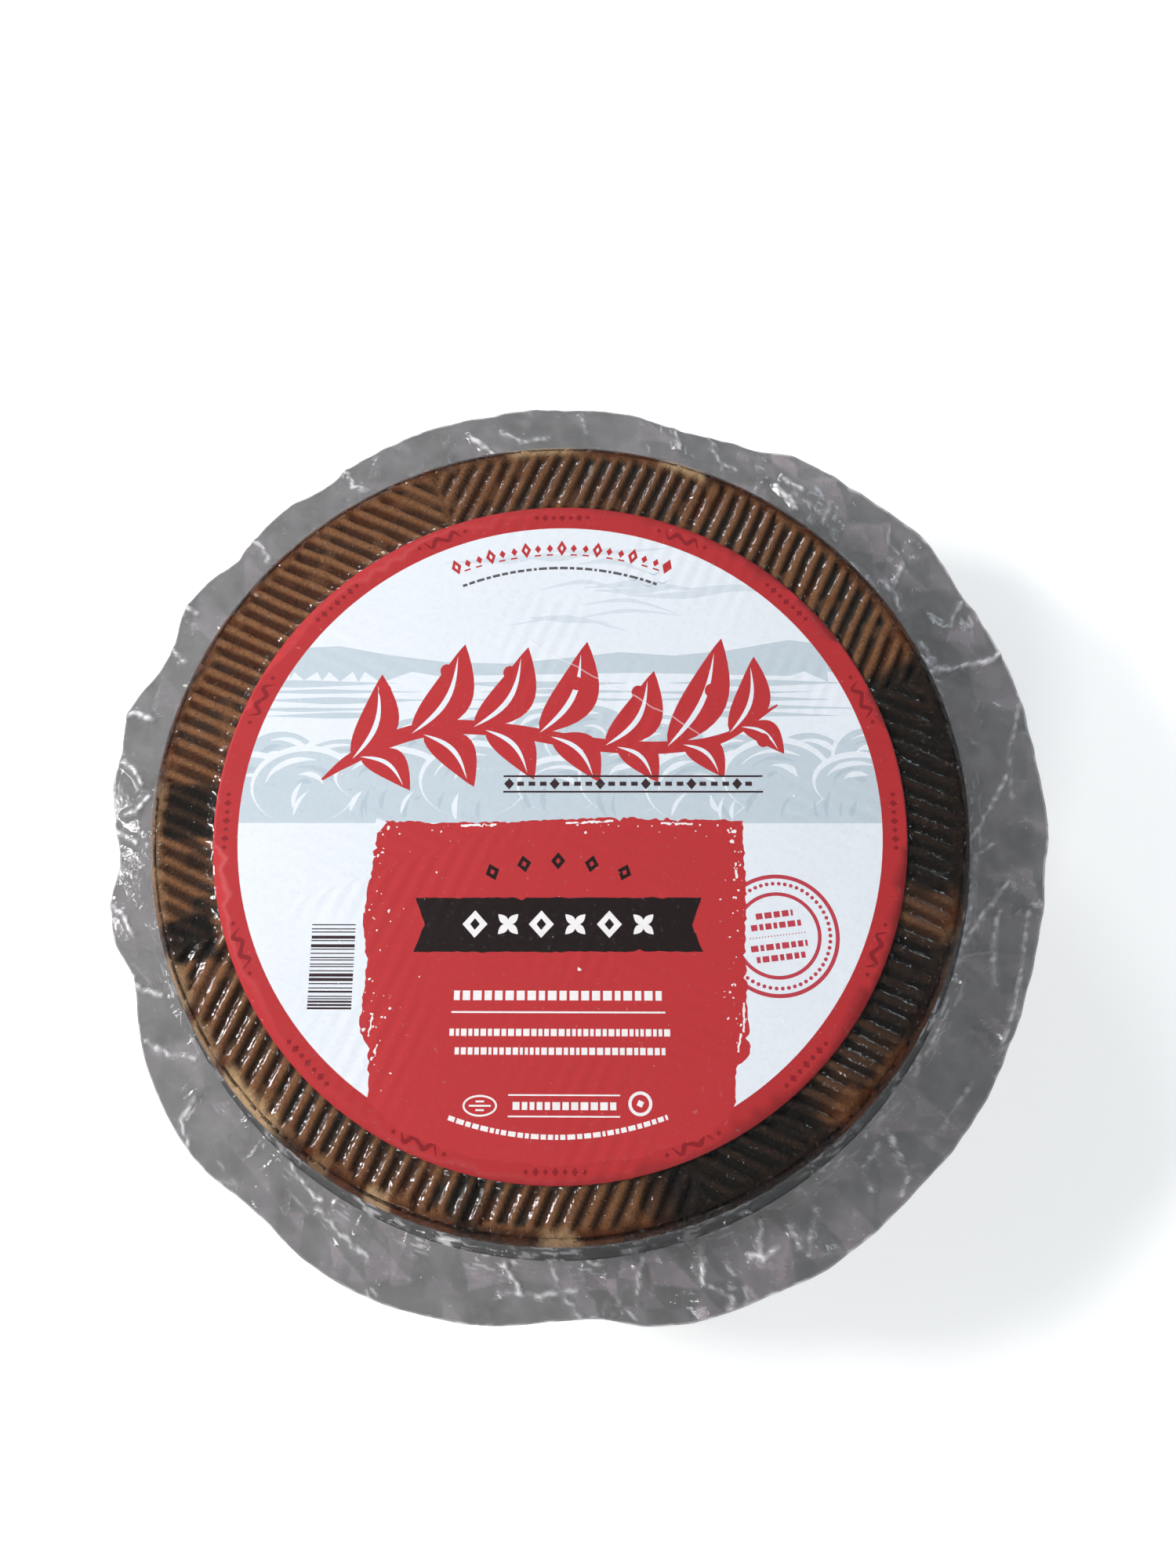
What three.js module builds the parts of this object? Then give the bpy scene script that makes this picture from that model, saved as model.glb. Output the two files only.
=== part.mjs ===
// Vacuum-packed pressed cheese wheel.
//
// All in millimetres, +Z up. The origin is the centre of the flat underside,
// where the pack stands.
//
//   lower_film    formed cup of clear film round the underside and the side
//   cheese_wheel  the pressed wheel, one solid with rounded rims
//   label         round paper label lying on the top face, a little off centre
//   upper_film    clear film drawn down over label, rim and the top of the side
//   seal_flange   ring where the two films are welded together
//
// The two films meet in a flat sealed flange about three quarters of the way up
// the side. The film shrank unevenly round the wheel, so the trimmed edge is wavy.
import * as THREE from "three";
import { mergeVertices } from "three/addons/utils/BufferGeometryUtils.js";

// ---- driving dimensions -------------------------------------------------
const WHEEL_R = 105; // radius of the cheese
const WHEEL_H = 85; // height of the cheese
const EDGE_R = 5; // rounding of the top and bottom rims
const SIDE_BULGE = 0; // the mould wall is straight
const LABEL_R = 87.5;
const LABEL_T = 0.3;
const LABEL_X = 0.3; // the label was laid on slightly off centre
const LABEL_Y = -3.3;
const FILM_T = 0.5;
const GAP = 0.3; // between touching pieces
const FLANGE_Z = 65.5; // middle of the seal
const FLANGE_T = 0.8; // two films welded together
const FLANGE_NOMINAL_R = 127; // radius of the flange in the profile, before the outline is applied
const FILLET_R = 4; // bend from the side wall into the flange
const SEGMENTS = 72; // around the axis, one every 5 degrees

// Outline of the trimmed flange: radius every 5 degrees, anticlockwise from +X.
const FLANGE_OUTLINE = [
  130.1, 130.3, 130.8, 131.9, 132.6, 132.4, 131.4, 132.2, 132.9, 132.3, 131.5, 131.2,
  130.0, 127.2, 126.0, 125.6, 127.8, 128.2, 127.6, 127.4, 127.0, 127.2, 127.3, 127.2,
  126.0, 123.6, 125.0, 124.0, 122.0, 124.4, 124.8, 121.2, 122.3, 125.0, 123.4, 123.8,
  121.2, 119.6, 122.2, 122.2, 118.8, 121.0, 123.4, 125.0, 126.0, 125.8, 124.2, 123.8,
  125.7, 126.6, 126.6, 126.2, 125.5, 124.5, 123.3, 123.3, 126.4, 128.0, 128.1, 128.3,
  129.1, 129.3, 129.1, 129.1, 129.6, 129.6, 129.7, 129.5, 129.0, 129.0, 129.0, 129.3,
];
// Rise and fall of the flange edge: [waves around, amplitude, phase].
const FLANGE_WAVES = [
  [3, 0.8, 0.4],
  [7, 0.55, 1.9],
  [11, 0.35, 0.8],
];

// ---- levels that follow from them ----------------------------------------
const BASE_TOP = FILM_T;
const WHEEL_Z0 = BASE_TOP + GAP;
const WHEEL_Z1 = WHEEL_Z0 + WHEEL_H;
const LABEL_Z0 = WHEEL_Z1 + GAP;
const LABEL_Z1 = LABEL_Z0 + LABEL_T;
const OVER_LABEL = LABEL_Z1 + GAP; // inside of the film above the label
const OVER_RIND = WHEEL_Z1 + GAP; // inside of the film above the bare rim
const STEP_R0 = LABEL_R + Math.hypot(LABEL_X, LABEL_Y) + 0.6; // the film steps down past the label's edge
const STEP_R1 = STEP_R0 + 2.6;
const CORNER_R = WHEEL_R - EDGE_R; // centre line of the rim's rounding
const WALL = EDGE_R + GAP; // from there to the inside of the film
const ROOT_R = WHEEL_R + GAP + FILLET_R; // where the films have turned flat and the flange begins

// ---- helpers ---------------------------------------------------------------
const P = (r, z) => new THREE.Vector2(r, z);

// Points of an arc about (r, z), angles in degrees, both ends included.
function arc(r, z, radius, from, to, steps) {
  const points = [];
  for (let i = 0; i <= steps; i++) {
    const a = THREE.MathUtils.degToRad(from + ((to - from) * i) / steps);
    points.push(P(r + radius * Math.cos(a), z + radius * Math.sin(a)));
  }
  return points;
}

// A profile of (radius, height) turned about Z. The seam and the points on the
// axis are shared, so the result is one closed surface.
function lathe(points) {
  const geometry = new THREE.LatheGeometry(points, SEGMENTS);
  geometry.rotateX(Math.PI / 2);
  geometry.deleteAttribute("normal");
  geometry.deleteAttribute("uv");
  const merged = mergeVertices(geometry, 1e-3);
  const index = Array.from(merged.index.array);
  const kept = [];
  for (let i = 0; i < index.length; i += 3) {
    const [a, b, c] = [index[i], index[i + 1], index[i + 2]];
    if (a !== b && b !== c && c !== a) kept.push(a, b, c);
  }
  merged.setIndex(kept);
  return merged;
}

// Faces of a closed mesh all turned the other way when its volume is negative.
function outward(geometry) {
  const p = geometry.attributes.position;
  const ix = geometry.index.array;
  let volume = 0;
  const [a, b, c] = [new THREE.Vector3(), new THREE.Vector3(), new THREE.Vector3()];
  for (let i = 0; i < ix.length; i += 3) {
    a.fromBufferAttribute(p, ix[i]);
    b.fromBufferAttribute(p, ix[i + 1]);
    c.fromBufferAttribute(p, ix[i + 2]);
    volume += a.dot(b.cross(c));
  }
  if (volume < 0) for (let i = 0; i < ix.length; i += 3) [ix[i + 1], ix[i + 2]] = [ix[i + 2], ix[i + 1]];
  geometry.computeVertexNormals();
  return geometry;
}

function outlineAt(angle) {
  const n = FLANGE_OUTLINE.length;
  const t = (((angle / (2 * Math.PI)) * n) % n + n) % n;
  const i = Math.floor(t) % n;
  const f = t - Math.floor(t);
  return FLANGE_OUTLINE[i] * (1 - f) + FLANGE_OUTLINE[(i + 1) % n] * f;
}

// The flange is stretched from its root to its trimmed outline, and waved.
function shapeFlange(geometry) {
  const p = geometry.attributes.position;
  for (let i = 0; i < p.count; i++) {
    const x = p.getX(i);
    const y = p.getY(i);
    const r = Math.hypot(x, y);
    if (r <= ROOT_R + 1e-4) continue;
    const angle = Math.atan2(y, x);
    const out = (r - ROOT_R) / (FLANGE_NOMINAL_R - ROOT_R);
    const s = (ROOT_R + out * (outlineAt(angle) - ROOT_R)) / r;
    let rise = 0;
    for (const [k, a, phase] of FLANGE_WAVES) rise += a * Math.sin(k * angle + phase);
    p.setXYZ(i, x * s, y * s, p.getZ(i) + rise * out * out);
  }
  return geometry;
}

function piece(name, geometry, material) {
  const mesh = new THREE.Mesh(geometry, material);
  mesh.name = name;
  return mesh;
}

// ---- materials ---------------------------------------------------------------
const rind = new THREE.MeshStandardMaterial({ color: 0x6b4628, roughness: 0.5, metalness: 0 });
const paper = new THREE.MeshStandardMaterial({ color: 0xc43a3e, roughness: 0.55, metalness: 0 });
const filmTop = new THREE.MeshStandardMaterial({
  color: 0xd0d0d2,
  roughness: 0.08,
  metalness: 0,
  transparent: true,
  opacity: 0.3,
});
const filmBottom = filmTop.clone();
const filmSeal = filmTop.clone();
filmSeal.opacity = 0.5;

// ---- the wheel: flat faces, straight side, rounded rims -----------------------
const wheelProfile = [
  P(0, WHEEL_Z0),
  ...arc(CORNER_R, WHEEL_Z0 + EDGE_R, EDGE_R, -90, 0, 4),
  P(WHEEL_R + SIDE_BULGE, (WHEEL_Z0 + WHEEL_Z1) / 2),
  ...arc(CORNER_R, WHEEL_Z1 - EDGE_R, EDGE_R, 0, 90, 4),
  P(0, WHEEL_Z1),
];

// ---- the label: a thin disc ------------------------------------------------------
const labelProfile = [P(0, LABEL_Z0), P(LABEL_R, LABEL_Z0), P(LABEL_R, LABEL_Z1), P(0, LABEL_Z1)];

// ---- upper film: inside from the axis down to the flange, then back up outside ------
const upperEnd = FLANGE_Z + GAP / 2;
const upperFillet = upperEnd + FILLET_R;
const upperProfile = [
  P(0, OVER_LABEL),
  P(STEP_R0, OVER_LABEL),
  P(STEP_R1, OVER_RIND),
  ...arc(CORNER_R, WHEEL_Z1 - EDGE_R, WALL, 90, 0, 4),
  ...arc(ROOT_R, upperFillet, FILLET_R, 180, 270, 4),
  ...arc(ROOT_R, upperFillet, FILLET_R - FILM_T, 270, 180, 4),
  ...arc(CORNER_R, WHEEL_Z1 - EDGE_R, WALL + FILM_T, 0, 90, 4),
  P(STEP_R1 + 0.1, OVER_RIND + FILM_T),
  P(STEP_R0 + 0.1, OVER_LABEL + FILM_T),
  P(0, OVER_LABEL + FILM_T),
];

// ---- lower film: the cup, outside from the axis up to the flange, then back inside ---
const lowerEnd = FLANGE_Z - GAP / 2;
const lowerFillet = lowerEnd - FILLET_R;
const lowerProfile = [
  P(0, 0),
  ...arc(CORNER_R, WALL + FILM_T, WALL + FILM_T, -90, 0, 4),
  ...arc(ROOT_R, lowerFillet, FILLET_R - FILM_T, 180, 90, 4),
  ...arc(ROOT_R, lowerFillet, FILLET_R, 90, 180, 4),
  ...arc(CORNER_R, WALL + FILM_T, WALL, 0, -90, 4),
  P(0, BASE_TOP),
];

// ---- the welded ring, closed on itself -------------------------------------------
const flangeMiddle = (ROOT_R + FLANGE_NOMINAL_R) / 2;
const flangeProfile = [
  P(ROOT_R + GAP, FLANGE_Z - FLANGE_T / 2),
  P(flangeMiddle, FLANGE_Z - FLANGE_T / 2),
  P(FLANGE_NOMINAL_R, FLANGE_Z - FLANGE_T / 2),
  P(FLANGE_NOMINAL_R, FLANGE_Z + FLANGE_T / 2),
  P(flangeMiddle, FLANGE_Z + FLANGE_T / 2),
  P(ROOT_R + GAP, FLANGE_Z + FLANGE_T / 2),
  P(ROOT_R + GAP, FLANGE_Z - FLANGE_T / 2),
];

// ---- the assembly -------------------------------------------------------------
const pack = new THREE.Group();
pack.add(piece("lower_film", outward(lathe(lowerProfile)), filmBottom));
pack.add(piece("cheese_wheel", outward(lathe(wheelProfile)), rind));
const label = piece("label", outward(lathe(labelProfile)), paper);
label.position.set(LABEL_X, LABEL_Y, 0);
pack.add(label);
pack.add(piece("upper_film", outward(lathe(upperProfile)), filmTop));
pack.add(piece("seal_flange", outward(shapeFlange(lathe(flangeProfile))), filmSeal));

export default pack;
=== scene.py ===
import math

import bpy
import numpy as np
from mathutils import Matrix, Vector


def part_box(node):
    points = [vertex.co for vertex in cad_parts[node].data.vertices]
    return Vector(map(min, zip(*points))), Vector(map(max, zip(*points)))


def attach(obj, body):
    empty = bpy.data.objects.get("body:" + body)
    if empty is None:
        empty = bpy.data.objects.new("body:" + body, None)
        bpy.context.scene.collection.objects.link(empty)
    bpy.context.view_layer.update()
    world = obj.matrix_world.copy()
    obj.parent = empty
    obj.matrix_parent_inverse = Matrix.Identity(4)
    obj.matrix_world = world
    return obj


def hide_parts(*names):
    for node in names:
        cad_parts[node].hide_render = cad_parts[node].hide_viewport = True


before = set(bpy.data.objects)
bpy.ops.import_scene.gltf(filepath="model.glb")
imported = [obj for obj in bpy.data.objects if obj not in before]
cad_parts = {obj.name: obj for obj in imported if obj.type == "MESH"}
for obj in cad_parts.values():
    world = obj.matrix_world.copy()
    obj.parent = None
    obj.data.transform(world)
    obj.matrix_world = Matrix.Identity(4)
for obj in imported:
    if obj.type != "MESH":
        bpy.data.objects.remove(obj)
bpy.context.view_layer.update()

# ------------------------------------------------------------------ sizes, mm
MM = 0.001
wheel_lo, wheel_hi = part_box("cheese_wheel")
label_lo, label_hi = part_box("label")
seal_lo, seal_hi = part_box("seal_flange")
R = (wheel_hi.x - wheel_lo.x) / 2 / MM          # wheel radius
Z0 = wheel_lo.z / MM                             # underside of the cheese
Z1 = wheel_hi.z / MM                             # top of the cheese
LR = (label_hi.x - label_lo.x) / 2 / MM          # label radius
LX = (label_hi.x + label_lo.x) / 2 / MM
LY = (label_hi.y + label_lo.y) / 2 / MM
LZ = label_hi.z / MM                             # printed face of the label
EDGE = 5.0                                       # rounding of the rims
FLANGE_Z = 65.5
FLANGE_OUTLINE = [
  130.1, 130.3, 130.8, 131.9, 132.6, 132.4, 131.4, 132.2, 132.9, 132.3, 131.5, 131.2,
  130.0, 127.2, 126.0, 125.6, 127.8, 128.2, 127.6, 127.4, 127.0, 127.2, 127.3, 127.2,
  126.0, 123.6, 125.0, 124.0, 122.0, 124.4, 124.8, 121.2, 122.3, 125.0, 123.4, 123.8,
  121.2, 119.6, 122.2, 122.2, 118.8, 121.0, 123.4, 125.0, 126.0, 125.8, 124.2, 123.8,
  125.7, 126.6, 126.6, 126.2, 125.5, 124.5, 123.3, 123.3, 126.4, 128.0, 128.1, 128.3,
  129.1, 129.3, 129.1, 129.1, 129.6, 129.6, 129.7, 129.5, 129.0, 129.0, 129.0, 129.3,
]
FLANGE_WAVES = [(3, 0.8, 0.4), (7, 0.55, 1.9), (11, 0.35, 0.8)]

# ------------------------------------------------------------------ noise
def _hash(ix, iy, seed):
    h = (ix.astype(np.int64) * 374761393 + iy.astype(np.int64) * 668265263 + seed * 982451653) & 0xFFFFFFFF
    h = (h ^ (h >> 13)) * 1274126177 & 0xFFFFFFFF
    h = (h ^ (h >> 16)) * 2246822519 & 0xFFFFFFFF
    return ((h ^ (h >> 15)) & 0xFFFFFF) / float(0xFFFFFF)


def noise(x, y, seed=0):
    """Smooth noise from -1 to 1 on a unit lattice."""
    x, y = np.broadcast_arrays(np.asarray(x, float), np.asarray(y, float))
    ix, iy = np.floor(x), np.floor(y)
    fx, fy = x - ix, y - iy
    u = fx * fx * fx * (fx * (fx * 6 - 15) + 10)
    v = fy * fy * fy * (fy * (fy * 6 - 15) + 10)
    out = 0
    for dx in (0, 1):
        for dy in (0, 1):
            a = _hash(ix + dx, iy + dy, seed) * 2 * math.pi
            g = np.cos(a) * (fx - dx) + np.sin(a) * (fy - dy)
            out = out + g * (u if dx else 1 - u) * (v if dy else 1 - v)
    return out * 1.5


def fbm(x, y, octaves=4, seed=0, gain=0.5):
    total, amp, norm = 0, 1.0, 0
    for i in range(octaves):
        total = total + amp * noise(x * 2**i + 17.3 * i, y * 2**i - 9.1 * i, seed + i)
        norm += amp
        amp *= gain
    return total / norm


def sstep(a, b, x):
    """Smooth step from 0 at a to 1 at b."""
    t = np.clip((np.asarray(x, float) - a) / (b - a), 0, 1)
    return t * t * (3 - 2 * t)


def bell(x, w):
    return np.exp(-((x / w) ** 2))


def gap(deg, centre):
    """Signed angle in degrees between deg and centre."""
    return (deg - centre + 180) % 360 - 180


# ------------------------------------------------------------------ rind pattern
PITCH = 4.08
QUADS = ((65.5, -1.03), (155.5, -0.07), (245.5, -0.47), (335.5, -1.34))


def bar(u, a=0.13, b=0.37):
    """Rounded ridge across one pitch; u is 0 on the crest and 0.5 in the groove."""
    return 1 - sstep(a, b, np.abs(u))


def ridges(x, y, turn=0.0, mirror=1.0):
    """Mould ridges of the flat faces: four quadrants of parallel ridges that meet in chevrons.
    Returns the place across the pitch, the ridge's number and the angle in degrees to the nearest chevron seam."""
    y = y * mirror
    wob = 0.35 * noise(x / 19, y / 19, 5) + 0.12 * noise(x / 6, y / 6, 6)
    th = np.degrees(np.arctan2(y, x))
    best, us, num = None, None, None
    k = np.round((th - 65.5 - turn) / 90.0).astype(int) % 4
    s = np.zeros_like(x)
    for q, (c, s0) in enumerate(QUADS):
        a = math.radians(c + turn)
        sq = -x * math.sin(a) + y * math.cos(a) - s0
        s = np.where(k == q, sq, s)
    s = s + wob
    n = np.floor(s / PITCH + 0.5)
    u = s / PITCH - n
    return u, n + 97 * k, np.abs(gap(th, 20.5 + turn + 90 * np.round((th - 20.5 - turn) / 90.0)))


def face_height(x, y, turn=0.0, mirror=1.0, rind_end=101.6):
    """Depth below the crest of the ridged face at each point, mm, and the masks for colour."""
    r = np.hypot(x, y)
    u, n, off = ridges(x, y, turn, mirror)
    jitter = (_hash(n, n * 0 + 3, 11) - 0.5)
    wide = 0.47 + 0.10 * noise(x / 25, y / 25, 21) + 0.08 * jitter
    a, b = 0.30 * wide, 0.72 * wide
    h = 1 - sstep(a, b, np.abs(u))
    # the chevron's seam: ridges run into each other over a narrow strip
    seam = bell(off * math.pi / 180 * r, 1.0)
    h = h * (1 - seam) + 0.55 * seam
    end = rind_end + 1.3 * jitter + 0.9 * noise(x / 9, y / 9, 31)
    fade = 1 - sstep(end - 1.7, end, r)
    fill = sstep(0.25, 0.55, noise(x / 7.5, y / 7.5, 41)) * 0.75   # stretches where the groove is bridged
    depth = 1.25 + 0.25 * noise(x / 31, y / 31, 51)
    groove = (1 - h) * fade * (1 - 0.55 * fill)
    rough = 0.05 * fbm(x / 2.3, y / 2.3, 3, 61) + 0.16 * fbm(x / 14, y / 14, 3, 71)
    return depth * groove, rough, groove, u, jitter


def side_height(arc, z):
    """Depth of the woven band's herringbone pressed into the side."""
    band = 11.0
    zz = z + 0.5 * noise(arc / 23, z / 9, 7)
    tri = np.abs((zz / band) % 2 - 1) * band
    n = (arc + tri * 0.8 + 0.6 * noise(arc / 15, z / 8, 8)) / (2 * math.pi * 105.0 / 140)
    u = n - np.floor(n + 0.5)
    h = 1 - sstep(0.14, 0.40, np.abs(u))
    row = bell((zz / band) - np.round(zz / band), 0.07)
    h = h * (1 - 0.8 * row)
    fill = sstep(0.3, 0.6, noise(arc / 11, z / 7, 42)) * 0.7
    groove = (1 - h) * (1 - 0.5 * fill)
    rough = 0.05 * fbm(arc / 2.3, z / 2.3, 3, 62) + 0.18 * fbm(arc / 15, z / 12, 3, 72)
    return 1.25 * groove, rough, groove


# ------------------------------------------------------------------ meshes
def rings_mesh(name, rings, closed_ends=(True, True), loop=False):
    """A mesh from rings of points, each an (n, 3) array in mm, that turn the same way. Neighbouring rings may
    differ in number by a whole factor. Ends are closed with a fan to their middle when asked."""
    verts, starts, faces = [], [], []
    total = 0
    for ring in rings:
        starts.append(total)
        verts.append(ring)
        total += len(ring)
    order = list(zip(range(len(rings)), range(1, len(rings))))
    if loop:
        order.append((len(rings) - 1, 0))
    for a, b in order:
        na, nb, sa, sb = len(rings[a]), len(rings[b]), starts[a], starts[b]
        if na == nb:
            i = np.arange(na)
            j = (i + 1) % na
            faces.append(np.stack([sa + i, sb + i, sb + j, sa + j], 1))
        elif na > nb:
            k = na // nb
            assert na == k * nb, (name, na, nb)
            i = np.arange(na)
            j = (i + 1) % na
            c = ((i + k // 2) // k) % nb
            d = ((j + k // 2) // k) % nb
            same = c == d
            faces.append(np.stack([sa + i, sb + c, sb + c, sa + j], 1)[same])
            faces.append(np.stack([sa + i, sb + c, sb + d, sa + j], 1)[~same])
        else:
            k = nb // na
            assert nb == k * na, (name, na, nb)
            i = np.arange(nb)
            j = (i + 1) % nb
            c = ((i + k // 2) // k) % na
            d = ((j + k // 2) // k) % na
            same = c == d
            faces.append(np.stack([sa + c, sb + i, sb + j, sa + c], 1)[same])
            faces.append(np.stack([sa + c, sb + i, sb + j, sa + d], 1)[~same])
    for end, which in ((0, closed_ends[0]), (len(rings) - 1, closed_ends[1])):
        if which and not loop:
            ring = rings[end]
            verts.append(ring.mean(0)[None])
            n, s = len(ring), starts[end]
            i = np.arange(n)
            j = (i + 1) % n
            if end == 0:
                faces.append(np.stack([np.full(n, total), s + i, s + j, np.full(n, total)], 1))
            else:
                faces.append(np.stack([np.full(n, total), s + j, s + i, np.full(n, total)], 1))
            total += 1
    co = np.concatenate(verts) * MM
    quads = np.concatenate(faces)
    polys = []
    for f in quads.tolist():
        seen = []
        for v in f:
            if v not in seen:
                seen.append(v)
        if len(seen) >= 3:
            polys.append(seen)
    me = bpy.data.meshes.new(name)
    me.from_pydata(co.tolist(), [], polys)
    me.update()
    # faces out
    me.calc_loop_triangles()
    t = np.array([tri.vertices[:] for tri in me.loop_triangles])
    p = co[t]
    if np.einsum("ij,ij->", p[:, 0], np.cross(p[:, 1], p[:, 2])) < 0:
        me.flip_normals()
    me.shade_smooth()
    ob = bpy.data.objects.new(name, me)
    bpy.context.collection.objects.link(ob)
    return ob, co / MM


def attribute(ob, name, values, kind="FLOAT"):
    a = ob.data.attributes.new(name, kind, "POINT")
    if kind == "FLOAT":
        a.data.foreach_set("value", np.asarray(values, np.float32))
    elif kind == "FLOAT_VECTOR":
        a.data.foreach_set("vector", np.asarray(values, np.float32).ravel())
    else:
        v = np.asarray(values, np.float32)
        if v.shape[1] == 3:
            v = np.concatenate([v, np.ones((len(v), 1), np.float32)], 1)
        a.data.foreach_set("color", v.ravel())


def circle(n):
    t = np.arange(n) / n * 2 * math.pi
    return t, np.cos(t), np.sin(t)


def lin(r, g, b):
    """Linear colour from 0-255 display values."""
    c = np.array([r, g, b], float) / 255
    return np.where(c <= 0.04045, c / 12.92, ((c + 0.055) / 1.055) ** 2.4)


# ------------------------------------------------------------------ the wheel
# Patches of the rind by angle: (angle, half width in degrees, inner radius, outer radius, kind, strength)
DARK_SPOTS = [
    (15, 9, 80, 106, 1.0), (1, 14, 80, 106, 1.0), (-10, 3.0, 84, 99, 0.75), (-27, 8, 82, 103.5, 1.0),
    (-38, 5, 82, 101, 0.75), (-62, 13, 80, 106, 1.0), (-73, 4.5, 84, 102, 0.65), (-49, 7, 86, 98, 0.5),
    (180.5, 4.2, 84, 101.0, 0.95), (200, 3.6, 90, 103.2, 1.0), (196, 1.6, 84, 95, 0.7), (188.5, 1.5, 84, 95, 0.6),
    (258, 2.0, 90, 103, 0.7), (206, 2.2, 84, 90, 0.5),
]
CREAM = [
    (71, 3.3, 1.0), (93, 6.0, 0.8), (225, 6.0, 1.0), (205, 4.0, 0.5), (246, 2.6, 0.9), (183, 7, 0.25), (192, 5, 0.25),
    (214, 3, 0.5), (271, 3.0, 0.7), (-20, 4, 0.15), (237, 2, 0.3),
]


def rind_colour(x, y, groove, jitter, edge, kind):
    """Linear colour of the rind. edge is mm outwards along the profile from the face (0 on the face, over 8 on the
    side), and is not used.
    """
    r = np.hypot(x, y)
    th = np.degrees(np.arctan2(y, x))
    m = 0.5 + 0.5 * fbm(x / 17, y / 17, 4, 101)
    m2 = 0.5 + 0.5 * fbm(x / 6, y / 6, 3, 111)
    crest = lin(136, 93, 62)[None] * (0.86 + 0.34 * m[:, None])
    warm = lin(122, 72, 40)[None]
    w = (sstep(0.52, 0.78, m2) * 0.6)[:, None]
    crest = crest * (1 - w) + warm * w
    gcol = lin(66, 44, 30)[None] * (0.75 + 0.6 * m2[:, None])
    # painted shade: the crest colour is darkened by angle, most on the right around 0° and 300°, and least on the left
    # near 150°, where the light is strongest
    painted_shade_by_angle = np.interp(th % 360, np.arange(0, 361, 30), [0.55, 0.85, 0.74, 0.70, 0.92, 1.0, 0.92, 0.86, 0.76, 0.78, 0.62, 0.72, 0.55])[:, None]
    crest = crest * painted_shade_by_angle
    window = bell(gap(th, -12), 9)[:, None]
    crest = crest * (1 - 0.45 * window) + lin(78, 58, 46)[None] * 0.45 * window
    green = lin(52, 50, 44)[None]
    w = sstep(0.45, 0.75, 0.5 + 0.5 * noise(x / 21, y / 21, 121))[:, None] * 0.8
    gcol = gcol * (1 - w) + green * w
    redg = lin(84, 44, 22)[None]
    w = (np.clip(sstep(0.5, 0.8, 0.5 + 0.5 * noise(x / 13, y / 13, 131)) + 0.6 * bell(gap(th, 140), 32), 0, 1))[:, None] * 0.8
    gcol = gcol * (1 - w) + redg * w
    g = np.clip(groove * 1.25, 0, 1)[:, None]
    col = crest * (1 - g) + gcol * g
    # rim band: orange brown varnish that ran to the edge
    rim = sstep(99.8, 102.4, r + 0.9 * noise(x / 5, y / 5, 141))[:, None]
    rim_col = lin(76, 36, 12)[None] * (0.40 + 1.0 * (0.5 + 0.5 * fbm(x / 6, y / 6, 3, 151))[:, None])
    deep = lin(40, 20, 9)[None]
    w = sstep(0.46, 0.66, 0.5 + 0.5 * noise(th / 4.5, r / 30, 161))[:, None] * 0.85
    rim_col = rim_col * (1 - w) + deep * w
    col = col * (1 - rim * 0.95) + rim_col * rim * 0.95
    warp = 4.0 * noise(x / 8, y / 8, 171)
    if kind == "top":
        cream = lin(174, 142, 106)[None]
        for a, half, amount in CREAM:
            d = np.abs(gap(th + 0.4 * warp, a)) / half
            w = (1 - sstep(0.65, 1.15, d)) * sstep(99.5, 101.6, r + 0.5 * warp * 0.5) * amount
            w = w[:, None] * (1 - 0.8 * g)
            col = col * (1 - w) + cream * w
        black = lin(27, 24, 21)[None]
        for a, half, r0, r1, amount in DARK_SPOTS:
            d = np.abs(gap(th + 0.25 * warp, a)) / half
            rr = r + 0.35 * warp
            w = (1 - sstep(0.8, 1.12, d)) * sstep(r0 - 1.5, r0 + 1, rr) * (1 - sstep(r1 - 1, r1 + 0.6, rr)) * amount
            keep = (1 - g[:, 0]) * 0.10 * (0.3 + m2)   # crests still show faintly
            w = (w * (1 - keep))[:, None]
            col = col * (1 - w) + black * w
    else:
        for a, half, s in ((40, 16, 0.9), (150, 9, 0.7), (262, 20, 0.9), (318, 8, 0.5)):
            d = np.abs(gap(th + 0.6 * warp, a)) / half
            w = (1 - sstep(0.6, 1.2, d)) * s * (0.4 + 0.6 * sstep(0.35, 0.6, m))
            w = w[:, None]
            col = col * (1 - w) + lin(32, 27, 23)[None] * w
    return col


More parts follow.
